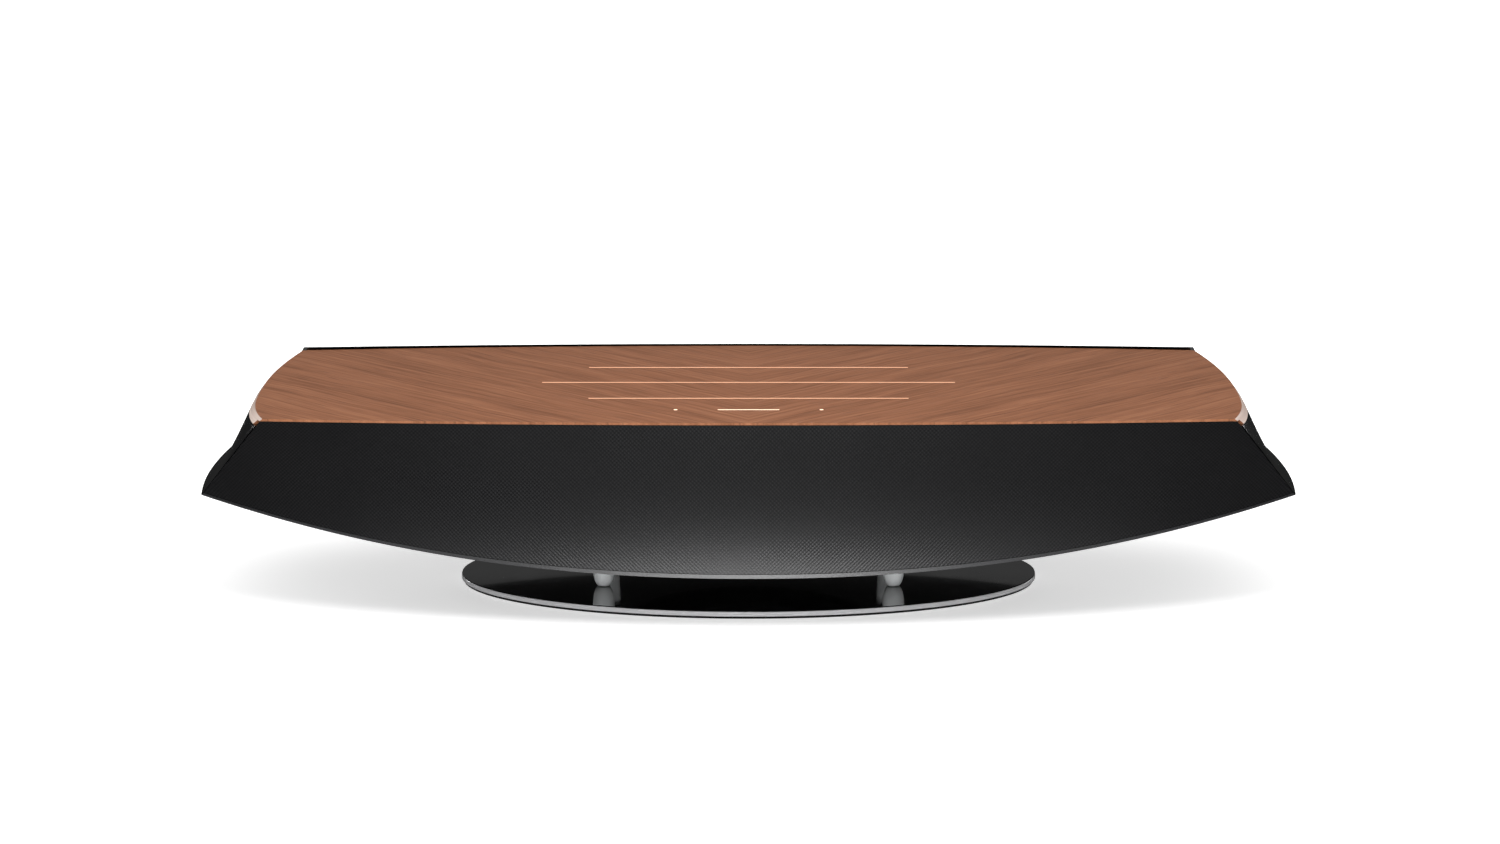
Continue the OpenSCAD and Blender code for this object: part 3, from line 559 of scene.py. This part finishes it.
def cloth_finish():
    """Black acoustic knit: rows of small stitches on a diagonal, with holes between them."""
    f = Finish("acoustic_knit", Specular_IOR_Level=0.26)
    u, v, _ = f.node("SeparateXYZ", Vector=f.node("TexCoord").outputs["UV"]).outputs
    turn = 2 * math.pi / KNIT_PITCH
    one = f.math("COSINE", f.math("MULTIPLY", u, turn / math.sqrt(2)))
    two = f.math("COSINE", f.math("MULTIPLY", v, turn / math.sqrt(2)))
    stitches = f.range(f.math("MULTIPLY", one, two), -1.0, 1.0, 0.0, 1.0)
    fuzz = f.noise(f.point(), 3200.0, 2.0)
    patches = f.noise(f.point(), 26.0, 2.0)
    thread = f.ramp(stitches, (0.15, srgb(8, 8, 9)), (0.55, srgb(19, 19, 20)), (0.95, srgb(29, 29, 30)))
    worn = f.blend(f.range(patches, 0.35, 0.65, 0.0, 0.25), thread, srgb(13, 13, 14))
    f.bump(f.math("ADD", stitches, f.math("MULTIPLY", fuzz, 0.35)), 0.16 * MM, 0.5)
    return f.set(Base_Color=worn, Roughness=f.range(fuzz, 0.3, 0.7, 0.29, 0.37))


def gloss_black_finish():
    """Polished black shell with the faint waviness of a moulded, lacquered part."""
    f = Finish("gloss_black", Specular_IOR_Level=0.5, Coat_Weight=0.5, Coat_Roughness=0.04)
    haze = f.noise(f.point(), 40.0, 3.0)
    colour = f.ramp(haze, (0.3, srgb(9, 9, 10)), (0.7, srgb(15, 15, 16)))
    f.bump(f.noise(f.point(), 520.0, 2.0), 0.01 * MM, 0.25)
    return f.set(Base_Color=colour, Roughness=f.range(haze, 0.3, 0.7, 0.06, 0.13))


def moulded_finish(name, dark, light, roughness, grain=1500.0, depth=0.06 * MM):
    """Moulded plastic or paint with a fine even texture."""
    f = Finish(name, Specular_IOR_Level=0.4)
    cells = f.noise(f.point(), grain, 3.0)
    cloud = f.noise(f.point(), 18.0, 2.0)
    mixed = f.math("ADD", f.math("MULTIPLY", cells, 0.4), f.math("MULTIPLY", cloud, 0.6))
    colour = f.ramp(mixed, (0.35, dark), (0.65, light))
    f.bump(cells, depth, 0.5)
    return f.set(Base_Color=colour, Roughness=f.range(cells, 0.3, 0.7, roughness - 0.06, roughness + 0.06))


def metal_finish(name, dark, light, roughness, stretch=(1.0, 1.0, 1.0), scale=300.0, metallic=1.0):
    """Bare or plated metal, with fine lines along the axes whose stretch is least."""
    f = Finish(name, Metallic=metallic)
    x, y, z = [f.math("MULTIPLY", axis, factor) for axis, factor in zip(f.place(), stretch)]
    stretched = f.node("CombineXYZ", X=x, Y=y, Z=z)
    lines = f.noise(stretched.outputs[0], scale, 3.0)
    f.bump(lines, 0.01 * MM, 0.3)
    return f.set(
        Base_Color=f.ramp(lines, (0.3, dark), (0.7, light)),
        Roughness=f.range(lines, 0.3, 0.7, roughness * 0.8, roughness * 1.25),
    )


def paper_finish(name, dark, light):
    """Pressed paper cone with fibres."""
    f = Finish(name, Specular_IOR_Level=0.3)
    fibres = f.noise(f.point(), 900.0, 6.0, 0.75)
    f.bump(fibres, 0.12 * MM, 0.6)
    colour = f.ramp(fibres, (0.35, dark), (0.65, light))
    return f.set(Base_Color=colour, Roughness=f.range(fibres, 0.3, 0.7, 0.6, 0.8))


def weave_finish(name, dark, light, pitch):
    """Woven cloth, stiffened with resin."""
    f = Finish(name, Specular_IOR_Level=0.3)
    x, y, _ = f.place()
    turn = 2 * math.pi / pitch
    warp = f.math("SINE", f.math("MULTIPLY", x, turn))
    weft = f.math("SINE", f.math("MULTIPLY", y, turn))
    crossing = f.range(f.math("MULTIPLY", warp, weft), -1.0, 1.0, 0.0, 1.0)
    f.bump(crossing, 0.1 * MM, 0.7)
    colour = f.ramp(crossing, (0.2, dark), (0.8, light))
    return f.set(Base_Color=colour, Roughness=f.range(crossing, 0.0, 1.0, 0.85, 0.6))


def winding_finish():
    """Enamelled copper wire, wound round in fine turns."""
    f = Finish("copper_winding", Metallic=1.0)
    _, _, z = f.place()
    turns = f.math("SINE", f.math("MULTIPLY", z, 2 * math.pi / (0.25 * MM)))
    f.bump(turns, 0.06 * MM, 0.8)
    share = f.range(turns, -1.0, 1.0, 0.0, 1.0)
    return f.set(
        Base_Color=f.ramp(share, (0.0, srgb(96, 50, 26)), (1.0, srgb(205, 130, 84))),
        Roughness=f.range(turns, -1.0, 1.0, 0.5, 0.28),
    )


def board_finish():
    """Green solder mask with a net of tracks under it."""
    f = Finish("circuit_board", Specular_IOR_Level=0.5)
    cells = f.node("TexVoronoi", Vector=f.point(), Scale=240.0)
    cells.distance = "MANHATTAN"
    tracks = f.range(cells.outputs["Distance"], 0.28, 0.34, 0.0, 1.0)
    f.bump(tracks, 0.04 * MM, 0.6)
    return f.set(
        Base_Color=f.ramp(tracks, (0.0, srgb(14, 74, 44)), (1.0, srgb(28, 108, 66))),
        Roughness=f.range(tracks, 0.0, 1.0, 0.3, 0.45),
    )


finishes = {
    "wood_veneer": veneer_finish(),
    "edge_band": edge_band_finish(),
    "inlay": inlay_finish(),
    "light_guide": light_finish(),
    "grille_fabric": cloth_finish(),
    "gloss_black": gloss_black_finish(),
    "satin_black": moulded_finish("satin_black", srgb(20, 20, 21), srgb(27, 27, 28), 0.42),
    "inner_plastic": moulded_finish("inner_plastic", srgb(34, 34, 35), srgb(46, 46, 47), 0.55),
    "trim": moulded_finish("trim", srgb(36, 36, 37), srgb(44, 44, 46), 0.32),
    "column_paint": moulded_finish(
        "column_paint", srgb(226, 229, 230), srgb(236, 239, 240), 0.36, 2200.0, 0.03 * MM
    ),
    "soft_rubber": moulded_finish("soft_rubber", grey(18), grey(28), 0.8, 1100.0, 0.1 * MM),
    "basket_paint": moulded_finish("basket_paint", srgb(26, 26, 27), srgb(36, 36, 37), 0.5, 1800.0),
    "button_cap": moulded_finish(
        "button_cap", srgb(196, 196, 197), srgb(210, 210, 211), 0.42, 2400.0, 0.03 * MM
    ),
    "magnet": moulded_finish("magnet", srgb(52, 52, 54), srgb(70, 70, 72), 0.6, 700.0, 0.1 * MM),
    # Silver rim with metallic only 0.3: most of its pale colour is diffuse, a painted reflection of the white
    # floor that glossy rays can't see.
    "polished_rim": metal_finish(
        "polished_rim", srgb(214, 214, 216), srgb(232, 232, 234), 0.24, (1, 1, 30), 60.0, 0.3
    ),
    "screw_steel": metal_finish("screw_steel", srgb(150, 150, 154), srgb(182, 182, 186), 0.3),
    "socket_metal": metal_finish(
        "socket_metal", srgb(160, 160, 164), srgb(190, 190, 194), 0.28, (1, 12, 12)
    ),
    "heat_sink": metal_finish(
        "heat_sink", srgb(176, 178, 182), srgb(204, 206, 210), 0.36, (12, 1, 12)
    ),
    "cone_paper": paper_finish("cone_paper", srgb(34, 36, 39), srgb(58, 60, 64)),
    "silk": weave_finish("silk", srgb(18, 18, 19), srgb(34, 34, 36), 0.4 * MM),
    "spider_cloth": weave_finish("spider_cloth", srgb(150, 118, 58), srgb(206, 174, 108), 1.1 * MM),
    "coil_copper": winding_finish(),
    "circuit_board": board_finish(),
}

# ---- Camera ----


def aim_camera():
    """Camera 2.3 m from the middle of the body, 12 degrees up, aimed a little above it."""
    target = Vector((0, 0, 60 * MM))
    distance = 2.3
    height_angle = math.radians(12)
    tilt, swing = 11.0635, -0.023
    camera = added("camera", bpy.data.cameras.new("camera"))
    camera.location = target + distance * Vector((0, -math.cos(height_angle), math.sin(height_angle)))
    camera.rotation_euler = (math.radians(90 - tilt), 0, math.radians(swing))
    camera.data.sensor_width = 36
    camera.data.lens = 89.71
    bpy.context.scene.camera = camera


aim_camera()

# ---- Wood top ----


def wood_outline(lean):
    """Outline of the wood panel's upper face, leaning outwards at the ends by a share."""
    s = np.linspace(-1, 1, 97)
    end_y = np.linspace(WOOD_CORNER_Y, WOOD_BACK_CORNER_Y, 66)[1:-1]
    end_x = wood_end_x(end_y) + lean * bevel(end_y)
    front_half = WOOD_FRONT_HALF + lean * BEVEL_FRONT
    back_half = WOOD_BACK_HALF + lean * BEVEL_END
    front = np.stack([s * front_half, WOOD_FRONT_Y + WOOD_FRONT_BOW * s**2], axis=1)
    back = np.stack([s * back_half, WOOD_BACK_Y - WOOD_BACK_BOW * s**2], axis=1)
    right = np.stack([end_x, end_y], axis=1)
    left = np.stack([-end_x, end_y], axis=1)
    return np.concatenate([front, right, back[::-1], left[::-1]])


def panel_cutter():
    """Slots for the inlays and the lights, and the step under the front edge."""
    tools = []
    for node in ("inlay_strips", "light_bar", "touch_dot_lights"):
        tools += slots_for(node)
    s = np.linspace(-1.1, 1.1, 97)
    x = s * WOOD_FRONT_HALF
    step_w = FRONT_T + 0.5 * MM
    step_top = -FRONT_REVEAL + 0.2 * MM
    front = np.stack([x, np.full_like(x, WOOD_FRONT_Y - 2 * CLEAR)], axis=1)
    back = np.stack([x, WOOD_FRONT_Y + step_w + WOOD_FRONT_BOW * s**2], axis=1)
    step = np.concatenate([front, back[::-1]]).tolist()
    tools.append(prism("step", step, -CLEAR, step_top))
    return merged("panel_cutter", tools)


def slots_for(node):
    """Prisms that are a hair larger than each solid of a node, seen along the panel's normal."""
    slack = 0.05 * MM
    tools = []
    for index, (low, high) in enumerate(loose_boxes(node, TILT_BACK)):
        size = (high - low) + Vector((2 * slack, 2 * slack, 0))
        middle = (high + low) / 2
        if abs(size.x - size.y) < 0.2 * MM:
            outline = circle(middle.x, middle.y, size.x / 2)
        else:
            outline = box_outline(middle.x, middle.y, size.x, size.y)
        tools.append(prism(f"slot_{index}", outline, low.z - 0.2 * slack, CLEAR))
    return tools


def loose_boxes(node, turn=Matrix.Identity(4)):
    """Lowest and highest corner of each separate solid of a CAD node, after a turn."""
    bm = welded(node)
    left = set(bm.verts)
    boxes = []
    while left:
        stack = [left.pop()]
        found = []
        while stack:
            vert = stack.pop()
            found.append(turn @ vert.co)
            for edge in vert.link_edges:
                other = edge.other_vert(vert)
                if other in left:
                    left.remove(other)
                    stack.append(other)
        boxes.append((Vector(map(min, zip(*found))), Vector(map(max, zip(*found)))))
    bm.free()
    return sorted(boxes, key=lambda b: tuple(round(c, 5) for c in b[0]))


ON_TOP = Matrix.Translation((0, 0, TOP_MID_Z)) @ Matrix.Rotation(TOP_TILT, 4, "X")
TILT_BACK = ON_TOP.inverted()


def build_wood_top():
    """Veneered panel with a pale band on its leaning ends."""
    panel = loft("walnut_top", level(wood_outline(1), -WOOD_T), level(wood_outline(0), 0.0))
    cut(panel, panel_cutter())
    panel.data.transform(ON_TOP)
    paint(panel, finishes["wood_veneer"], finishes["edge_band"])
    for face in panel.data.polygons:
        leaning = abs(face.normal.x) > 0.5 and abs(face.center.x) > WOOD_BACK_HALF - 1 * MM
        face.material_index = 1 if leaning else 0
    ease_edges(panel, 0.3 * MM, 30, 2)
    place(panel, "wood_top")


build_wood_top()
carry("inlay_strips", "inlay", 0.12 * MM)
carry("light_bar", "light_guide", 0.12 * MM)
carry("touch_dot_lights", "light_guide", 0.12 * MM)

# ---- Grille ----


def build_grille():
    """Cloth over the whole front, and the thin trim along its lower edge."""
    across = np.linspace(-1, 1, 241)
    low_edge = 1 - TRIM_SHARE
    down = np.linspace(0, low_edge - TRIM_GAP_SHARE, 61)
    cloth = shell("knit_grille", front_point, across, down, 0, CLOTH_T)
    ease_edges(cloth, 0.3 * MM, 50, 2)
    place(cloth, "grille_cloth")
    paint(cloth, finishes["grille_fabric"])
    trim = shell("lower_trim", front_point, across, np.linspace(low_edge, 1, 4), 0, FRONT_T)
    ease_edges(trim, 0.5 * MM, 50, 3)
    place(trim, "grille_trim")
    paint(trim, finishes["trim"])


build_grille()

# ---- End caps and rear shell ----


def window_cutter(side):
    """Round window of an end cap, on the axis of its side driver."""
    axis = Vector(next(j["axis"] for j in frame["joints"] if j["child"] == "side_piston_" + side))
    low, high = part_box("side_grille_" + side)
    radius, reach = 19.6 * MM, 20 * MM
    cutter = prism("window", circle(0, 0, radius, 128), -reach, reach)
    turn = axis.to_track_quat("Z", "Y").to_matrix().to_4x4()
    cutter.matrix_world = Matrix.Translation((low + high) / 2) @ turn
    return cutter


def build_end_cap(side):
    """Glossy end wall with a round window for the side driver's grille."""
    sign = SIDES[side]

    def surface(v, h, t):
        return end_point(v, h, t) * np.array([sign, 1, 1])

    across, down = np.linspace(0, 1, 89), np.linspace(0, 1, 49)
    cap = shell("end_shell_" + side, surface, across, down, 0, WALL_T)
    cut(cap, window_cutter(side))
    cap.data.shade_smooth()
    ease_edges(cap, 0.5 * MM, 40, 3)
    place(cap, "end_cap_" + side)
    paint(cap, finishes["gloss_black"])


def build_rear_shell():
    """Glossy bulging back with the opening of the connector bay."""
    across, down = np.linspace(-1, 1, 209), np.linspace(0, 1, 57)
    rear = shell("rear_shell_gloss", back_point, across, down, 0, WALL_T)
    low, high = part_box("connector_bay")
    wall = 3 * MM
    bay_x, bay_z0, bay_z1 = high.x - wall, low.z + wall, high.z - wall
    behind_y, depth = 140 * MM, 80 * MM
    cutter = prism("bay_opening", box_outline(0, behind_y, 2 * bay_x, depth), bay_z0, bay_z1)
    cut(rear, cutter)
    rear.data.shade_smooth()
    ease_edges(rear, 0.5 * MM, 40, 3)
    place(rear, "rear_shell")
    paint(rear, finishes["gloss_black"])


for side in SIDES:
    build_end_cap(side)
    carry("side_grille_" + side, "satin_black", 0.25 * MM)
build_rear_shell()
carry("lower_shell", "satin_black", 0.4 * MM)

# ---- Base ----


def oval(inset, count=256):
    """Outline of the base's oval, inset all round."""
    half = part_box("base_rim")[1]
    angles = [2 * math.pi * i / count for i in range(count)]
    return [((half.x - inset) * math.cos(a), (half.y - inset) * math.sin(a)) for a in angles]


def oval_ring(name, profile, count=256):
    """Ring swept round the base's oval from a closed profile of (inset, height) points."""
    outlines = [oval(inset, count) for inset, _ in profile]
    verts = [(*outline[i], z) for i in range(count) for outline, (_, z) in zip(outlines, profile)]
    size = len(profile)
    faces = []
    for i in range(count):
        here, there = i * size, (i + 1) % count * size
        for k in range(size):
            after = (k + 1) % size
            faces.append((here + k, here + after, there + after, there + k))
    return new_piece(name, verts, faces)


def rounded(points, radius, steps=4):
    """Closed profile with each corner rounded by an arc-like curve."""
    made = []
    for i, here in enumerate(points):
        before, after = points[i - 1], points[(i + 1) % len(points)]
        corner = np.array(here, float)
        into, out = np.array(before, float) - corner, np.array(after, float) - corner
        start = corner + into / np.linalg.norm(into) * min(radius, np.linalg.norm(into) / 2)
        end = corner + out / np.linalg.norm(out) * min(radius, np.linalg.norm(out) / 2)
        for step in range(steps + 1):
            t = step / steps
            made.append(tuple((1 - t) ** 2 * start + 2 * t * (1 - t) * corner + t**2 * end))
    return made


def build_base():
    """Polished rim, gloss black plate whose thin lip lies over the rim, and rubber foot ring."""
    rim_low, rim_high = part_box("base_rim")
    plate_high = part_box("base_plate")[1]
    foot_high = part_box("foot_ring")[1]
    rim_w, rim_gap, lip_gap = 2.7 * MM, 0.1 * MM, 0.05 * MM
    section = [(0, rim_low.z), (0, rim_high.z), (rim_w, rim_high.z), (rim_w, rim_low.z)]
    ring = oval_ring("polished_rim", rounded(section, 0.5 * MM))
    place(ring, "base_rim")
    paint(ring, finishes["polished_rim"])
    plate = prism("base_plate_gloss", oval(rim_w + rim_gap), rim_low.z, plate_high.z)
    lip_low = rim_high.z + lip_gap
    lip_inset = rim_high.x - plate_high.x
    lip_end = 2 * rim_w
    section = [(lip_inset, lip_low), (lip_inset, plate_high.z), (lip_end, plate_high.z), (lip_end, lip_low)]
    join(plate, oval_ring("lip", section))
    pocket_r, pocket_top = 5 * MM, 3.4 * MM
    pockets = []
    for index, (low, high) in enumerate(loose_boxes("base_screws")):
        outline = circle((low.x + high.x) / 2, (low.y + high.y) / 2, pocket_r)
        pockets.append(prism(f"pocket_{index}", outline, -1 * MM, pocket_top))
    cut(plate, merged("pockets", pockets))
    ease_edges(plate, 0.2 * MM, 40, 3)
    place(plate, "base_plate")
    paint(plate, finishes["gloss_black"])
    foot_in = rim_high.x - foot_high.x
    foot_w = 10 * MM
    foot_out = foot_in + foot_w
    section = [(foot_in, 0), (foot_in, rim_low.z), (foot_out, rim_low.z), (foot_out, 0)]
    foot = oval_ring("rubber_foot", rounded(section, 0.4 * MM))
    place(foot, "foot_ring")
    paint(foot, finishes["soft_rubber"])


build_base()


def lathe(name, centre, profile, count=64):
    """Solid of revolution about an upright axis, from a profile of (radius, height) points."""
    size = len(profile)
    verts = []
    for i in range(count):
        a = 2 * math.pi * i / count
        verts += [(centre[0] + r * math.cos(a), centre[1] + r * math.sin(a), z) for r, z in profile]
    faces = [
        (i * size + k, i * size + k + 1, (i + 1) % count * size + k + 1, (i + 1) % count * size + k)
        for i in range(count)
        for k in range(size - 1)
    ]
    ends = [[i * size for i in range(count)], [i * size + size - 1 for i in range(count)]]
    return new_piece(name, verts, faces + ends)


def build_columns():
    """Columns that swell from a narrow foot to their full width within a few millimetres."""
    foot_r, full_r, rise, top_flare = 3.4 * MM, 6.5 * MM, 3.2 * MM, 1.0 * MM
    columns = []
    for index, (low, high) in enumerate(loose_boxes("base_columns")):
        centre = ((low.x + high.x) / 2, (low.y + high.y) / 2)
        heights = np.linspace(0, 1, 33)
        swell = 1 - np.exp(-heights * (high.z - low.z) / rise)
        radii = lerp(foot_r, full_r, swell) + top_flare * heights**2
        profile = list(zip(radii, lerp(low.z, high.z, heights)))
        columns.append(lathe(f"column_{index}", centre, profile, 72))
    piece = merged("tapered_columns", columns)
    piece.data.shade_smooth()
    ease_edges(piece, 0.2 * MM, 60, 2)
    place(piece, "base_columns")
    paint(piece, finishes["column_paint"])


build_columns()
carry("base_screws", "screw_steel", 0.25 * MM)
carry("case_screws", "screw_steel", 0.2 * MM)

# ---- Loudspeakers ----

WEDGES = 12


def wedge_of(node, centre, middle_angle):
    """Wedge of a ring about an upright axis, between two upright cuts whose faces are closed."""
    bm = welded(node)
    for turn in (-1, 1):
        angle = middle_angle + turn * math.pi / WEDGES
        outwards = turn * Vector((-math.sin(angle), math.cos(angle), 0))
        everything = bm.verts[:] + bm.edges[:] + bm.faces[:]
        cut_line = bmesh.ops.bisect_plane(
            bm, geom=everything, dist=WELD / 10, plane_co=centre, plane_no=outwards, clear_outer=True
        )["geom_cut"]
        edges = [item for item in cut_line if isinstance(item, bmesh.types.BMEdge)]
        bmesh.ops.edgeloop_fill(bm, edges=edges)
    bmesh.ops.recalc_face_normals(bm, faces=bm.faces)
    return bm


def flexing_ring(node, finish):
    """Ring of cloth or rubber cut into wedges that take the place of the CAD node."""
    low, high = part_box(node)
    centre = (low + high) / 2
    for index in range(WEDGES):
        angle = 2 * math.pi * index / WEDGES
        name = f"{node}_{index}"
        wedge = added(name, mesh_from(wedge_of(node, centre, angle), name))
        wedge.data.shade_smooth()
        wedge.data.set_sharp_from_angle(angle=math.radians(40))
        paint(wedge, finishes[finish])
        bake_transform(wedge)
        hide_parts(node)


carry("woofer_gasket", "soft_rubber", 0.15 * MM)
carry("woofer_basket", "basket_paint", 0.3 * MM)
flexing_ring("woofer_surround", "soft_rubber")
flexing_ring("woofer_spider", "spider_cloth")
dress("cone_paper", "woofer_cone")
dress("magnet", "woofer_motor")
dress("coil_copper", "woofer_voice_coil")
for side in SIDES:
    dress("basket_paint", "mid_basket_" + side, "tweeter_body_" + side, "side_basket_" + side)
    dress("magnet", "mid_motor_" + side)
    dress("soft_rubber", "mid_surround_" + side, "side_surround_" + side)
    dress("cone_paper", "mid_cone_" + side, "side_cone_" + side)
    dress("silk", "tweeter_dome_" + side)
dress("screw_steel", "driver_screws")

# ---- Inner structure and electronics ----

dress("inner_plastic", "top_chassis", "grille_frame", "front_baffle")
dress("circuit_board", "touch_board", "amplifier_board", "power_board", "main_board")
dress("heat_sink", "heat_sink")

# ---- Connector bay ----

carry("connector_bay", "satin_black", 0.3 * MM)
carry("mains_inlet", "satin_black", 0.3 * MM)
carry("line_in_jack", "satin_black", 0.2 * MM)
carry("hdmi_socket", "socket_metal", 0.12 * MM)
carry("ethernet_socket", "socket_metal", 0.2 * MM)
carry("standby_button", "button_cap", 0.4 * MM)
carry("pairing_button", "button_cap", 0.4 * MM)

# ---- Floor and light ----


def studio_paper(name, scale, glow, specular):
    """White paper that glows a little, so that it stays pale in the shade."""
    f = Finish(name, Specular_IOR_Level=specular, Emission_Color=(1, 1, 1, 1), Emission_Strength=glow)
    tone = f.noise(f.point(), scale, 2.0)
    return f.set(Base_Color=f.ramp(tone, (0.3, grey(243)), (0.7, grey(246))), Roughness=0.9)


def build_floor():
    size = 14.0
    verts = [(-size, -size, 0), (size, -size, 0), (size, size, 0), (-size, size, 0)]
    floor = new_piece("floor", verts, [(0, 1, 2, 3)])
    paint(floor, studio_paper("floor_paper", 1.5, 0.55, 0.1))
    floor.visible_glossy = False


def build_backdrop():
    """Pale wall all round the floor, which only fills the view and sheds no light."""
    radius, height = 13.0, 9.0
    ring = circle(0, 0, radius, 96)
    wall = loft("backdrop", level(ring, 0), level(ring, height), capped=False)
    paint(wall, studio_paper("backdrop_paper", 0.2, 1.0, 0.5))
    for kind in ("diffuse", "glossy", "shadow", "transmission"):
        setattr(wall, "visible_" + kind, False)


def add_light(name, kind, energy, place_at, target, **settings):
    """Light aimed at a point, unseen by the camera itself."""
    light = added(name, bpy.data.lights.new(name, kind))
    light.location = place_at
    light.rotation_euler = (Vector(target) - Vector(place_at)).to_track_quat("-Z", "Y").to_euler()
    light.data.energy = energy
    light.visible_camera = False
    for key, value in settings.items():
        setattr(light.data, key, value)
    return light


def build_world():
    """Studio that is bright overhead and falls off to dark towards the horizon."""
    world = bpy.data.worlds.new("studio")
    bpy.context.scene.world = world
    world.use_nodes = True
    tree = world.node_tree
    direction = tree.nodes.new("ShaderNodeTexCoord")
    split = tree.nodes.new("ShaderNodeSeparateXYZ")
    fade = tree.nodes.new("ShaderNodeValToRGB")
    for element, (height, light) in zip(fade.color_ramp.elements, ((0.15, 0.02), (0.8, 0.6))):
        element.position = height
        element.color = (light, light, light, 1.0)
    tree.links.new(direction.outputs["Generated"], split.inputs[0])
    tree.links.new(split.outputs[2], fade.inputs[0])
    tree.links.new(fade.outputs[0], tree.nodes["Background"].inputs["Color"])


def add_panel(name, energy, place_at, target, width, height):
    """Rectangular soft box."""
    return add_light(name, "AREA", energy, place_at, target, shape="RECTANGLE", size=width, size_y=height)


def light_the_scene():
    """Sky, a soft key close over the front, fills that leave no reflection, and a strip behind each end."""
    middle = (0, 0, 60 * MM)
    add_light("sky", "SUN", 0.9, (0, -0.4, 2.0), middle, angle=math.radians(120))
    add_panel("key", 6, (0, -0.62, 0.8), (0, -0.1, 0.05), width=0.28, height=0.4)
    fill = add_panel("fill", 7, (0, -1.4, 0.12), middle, width=1.2, height=0.2)
    back = add_panel("back", 8, (0, 1.5, 0.35), middle, width=0.9, height=0.3)
    for light in (fill, back):
        light.visible_glossy = False
    for side, sign in SIDES.items():
        add_panel("strip_" + side, 5, (1.5 * sign, 1.3, 0.35), middle, width=0.2, height=0.9)
    bpy.context.scene.view_settings.view_transform = "Standard"


build_floor()
build_backdrop()
build_world()
light_the_scene()
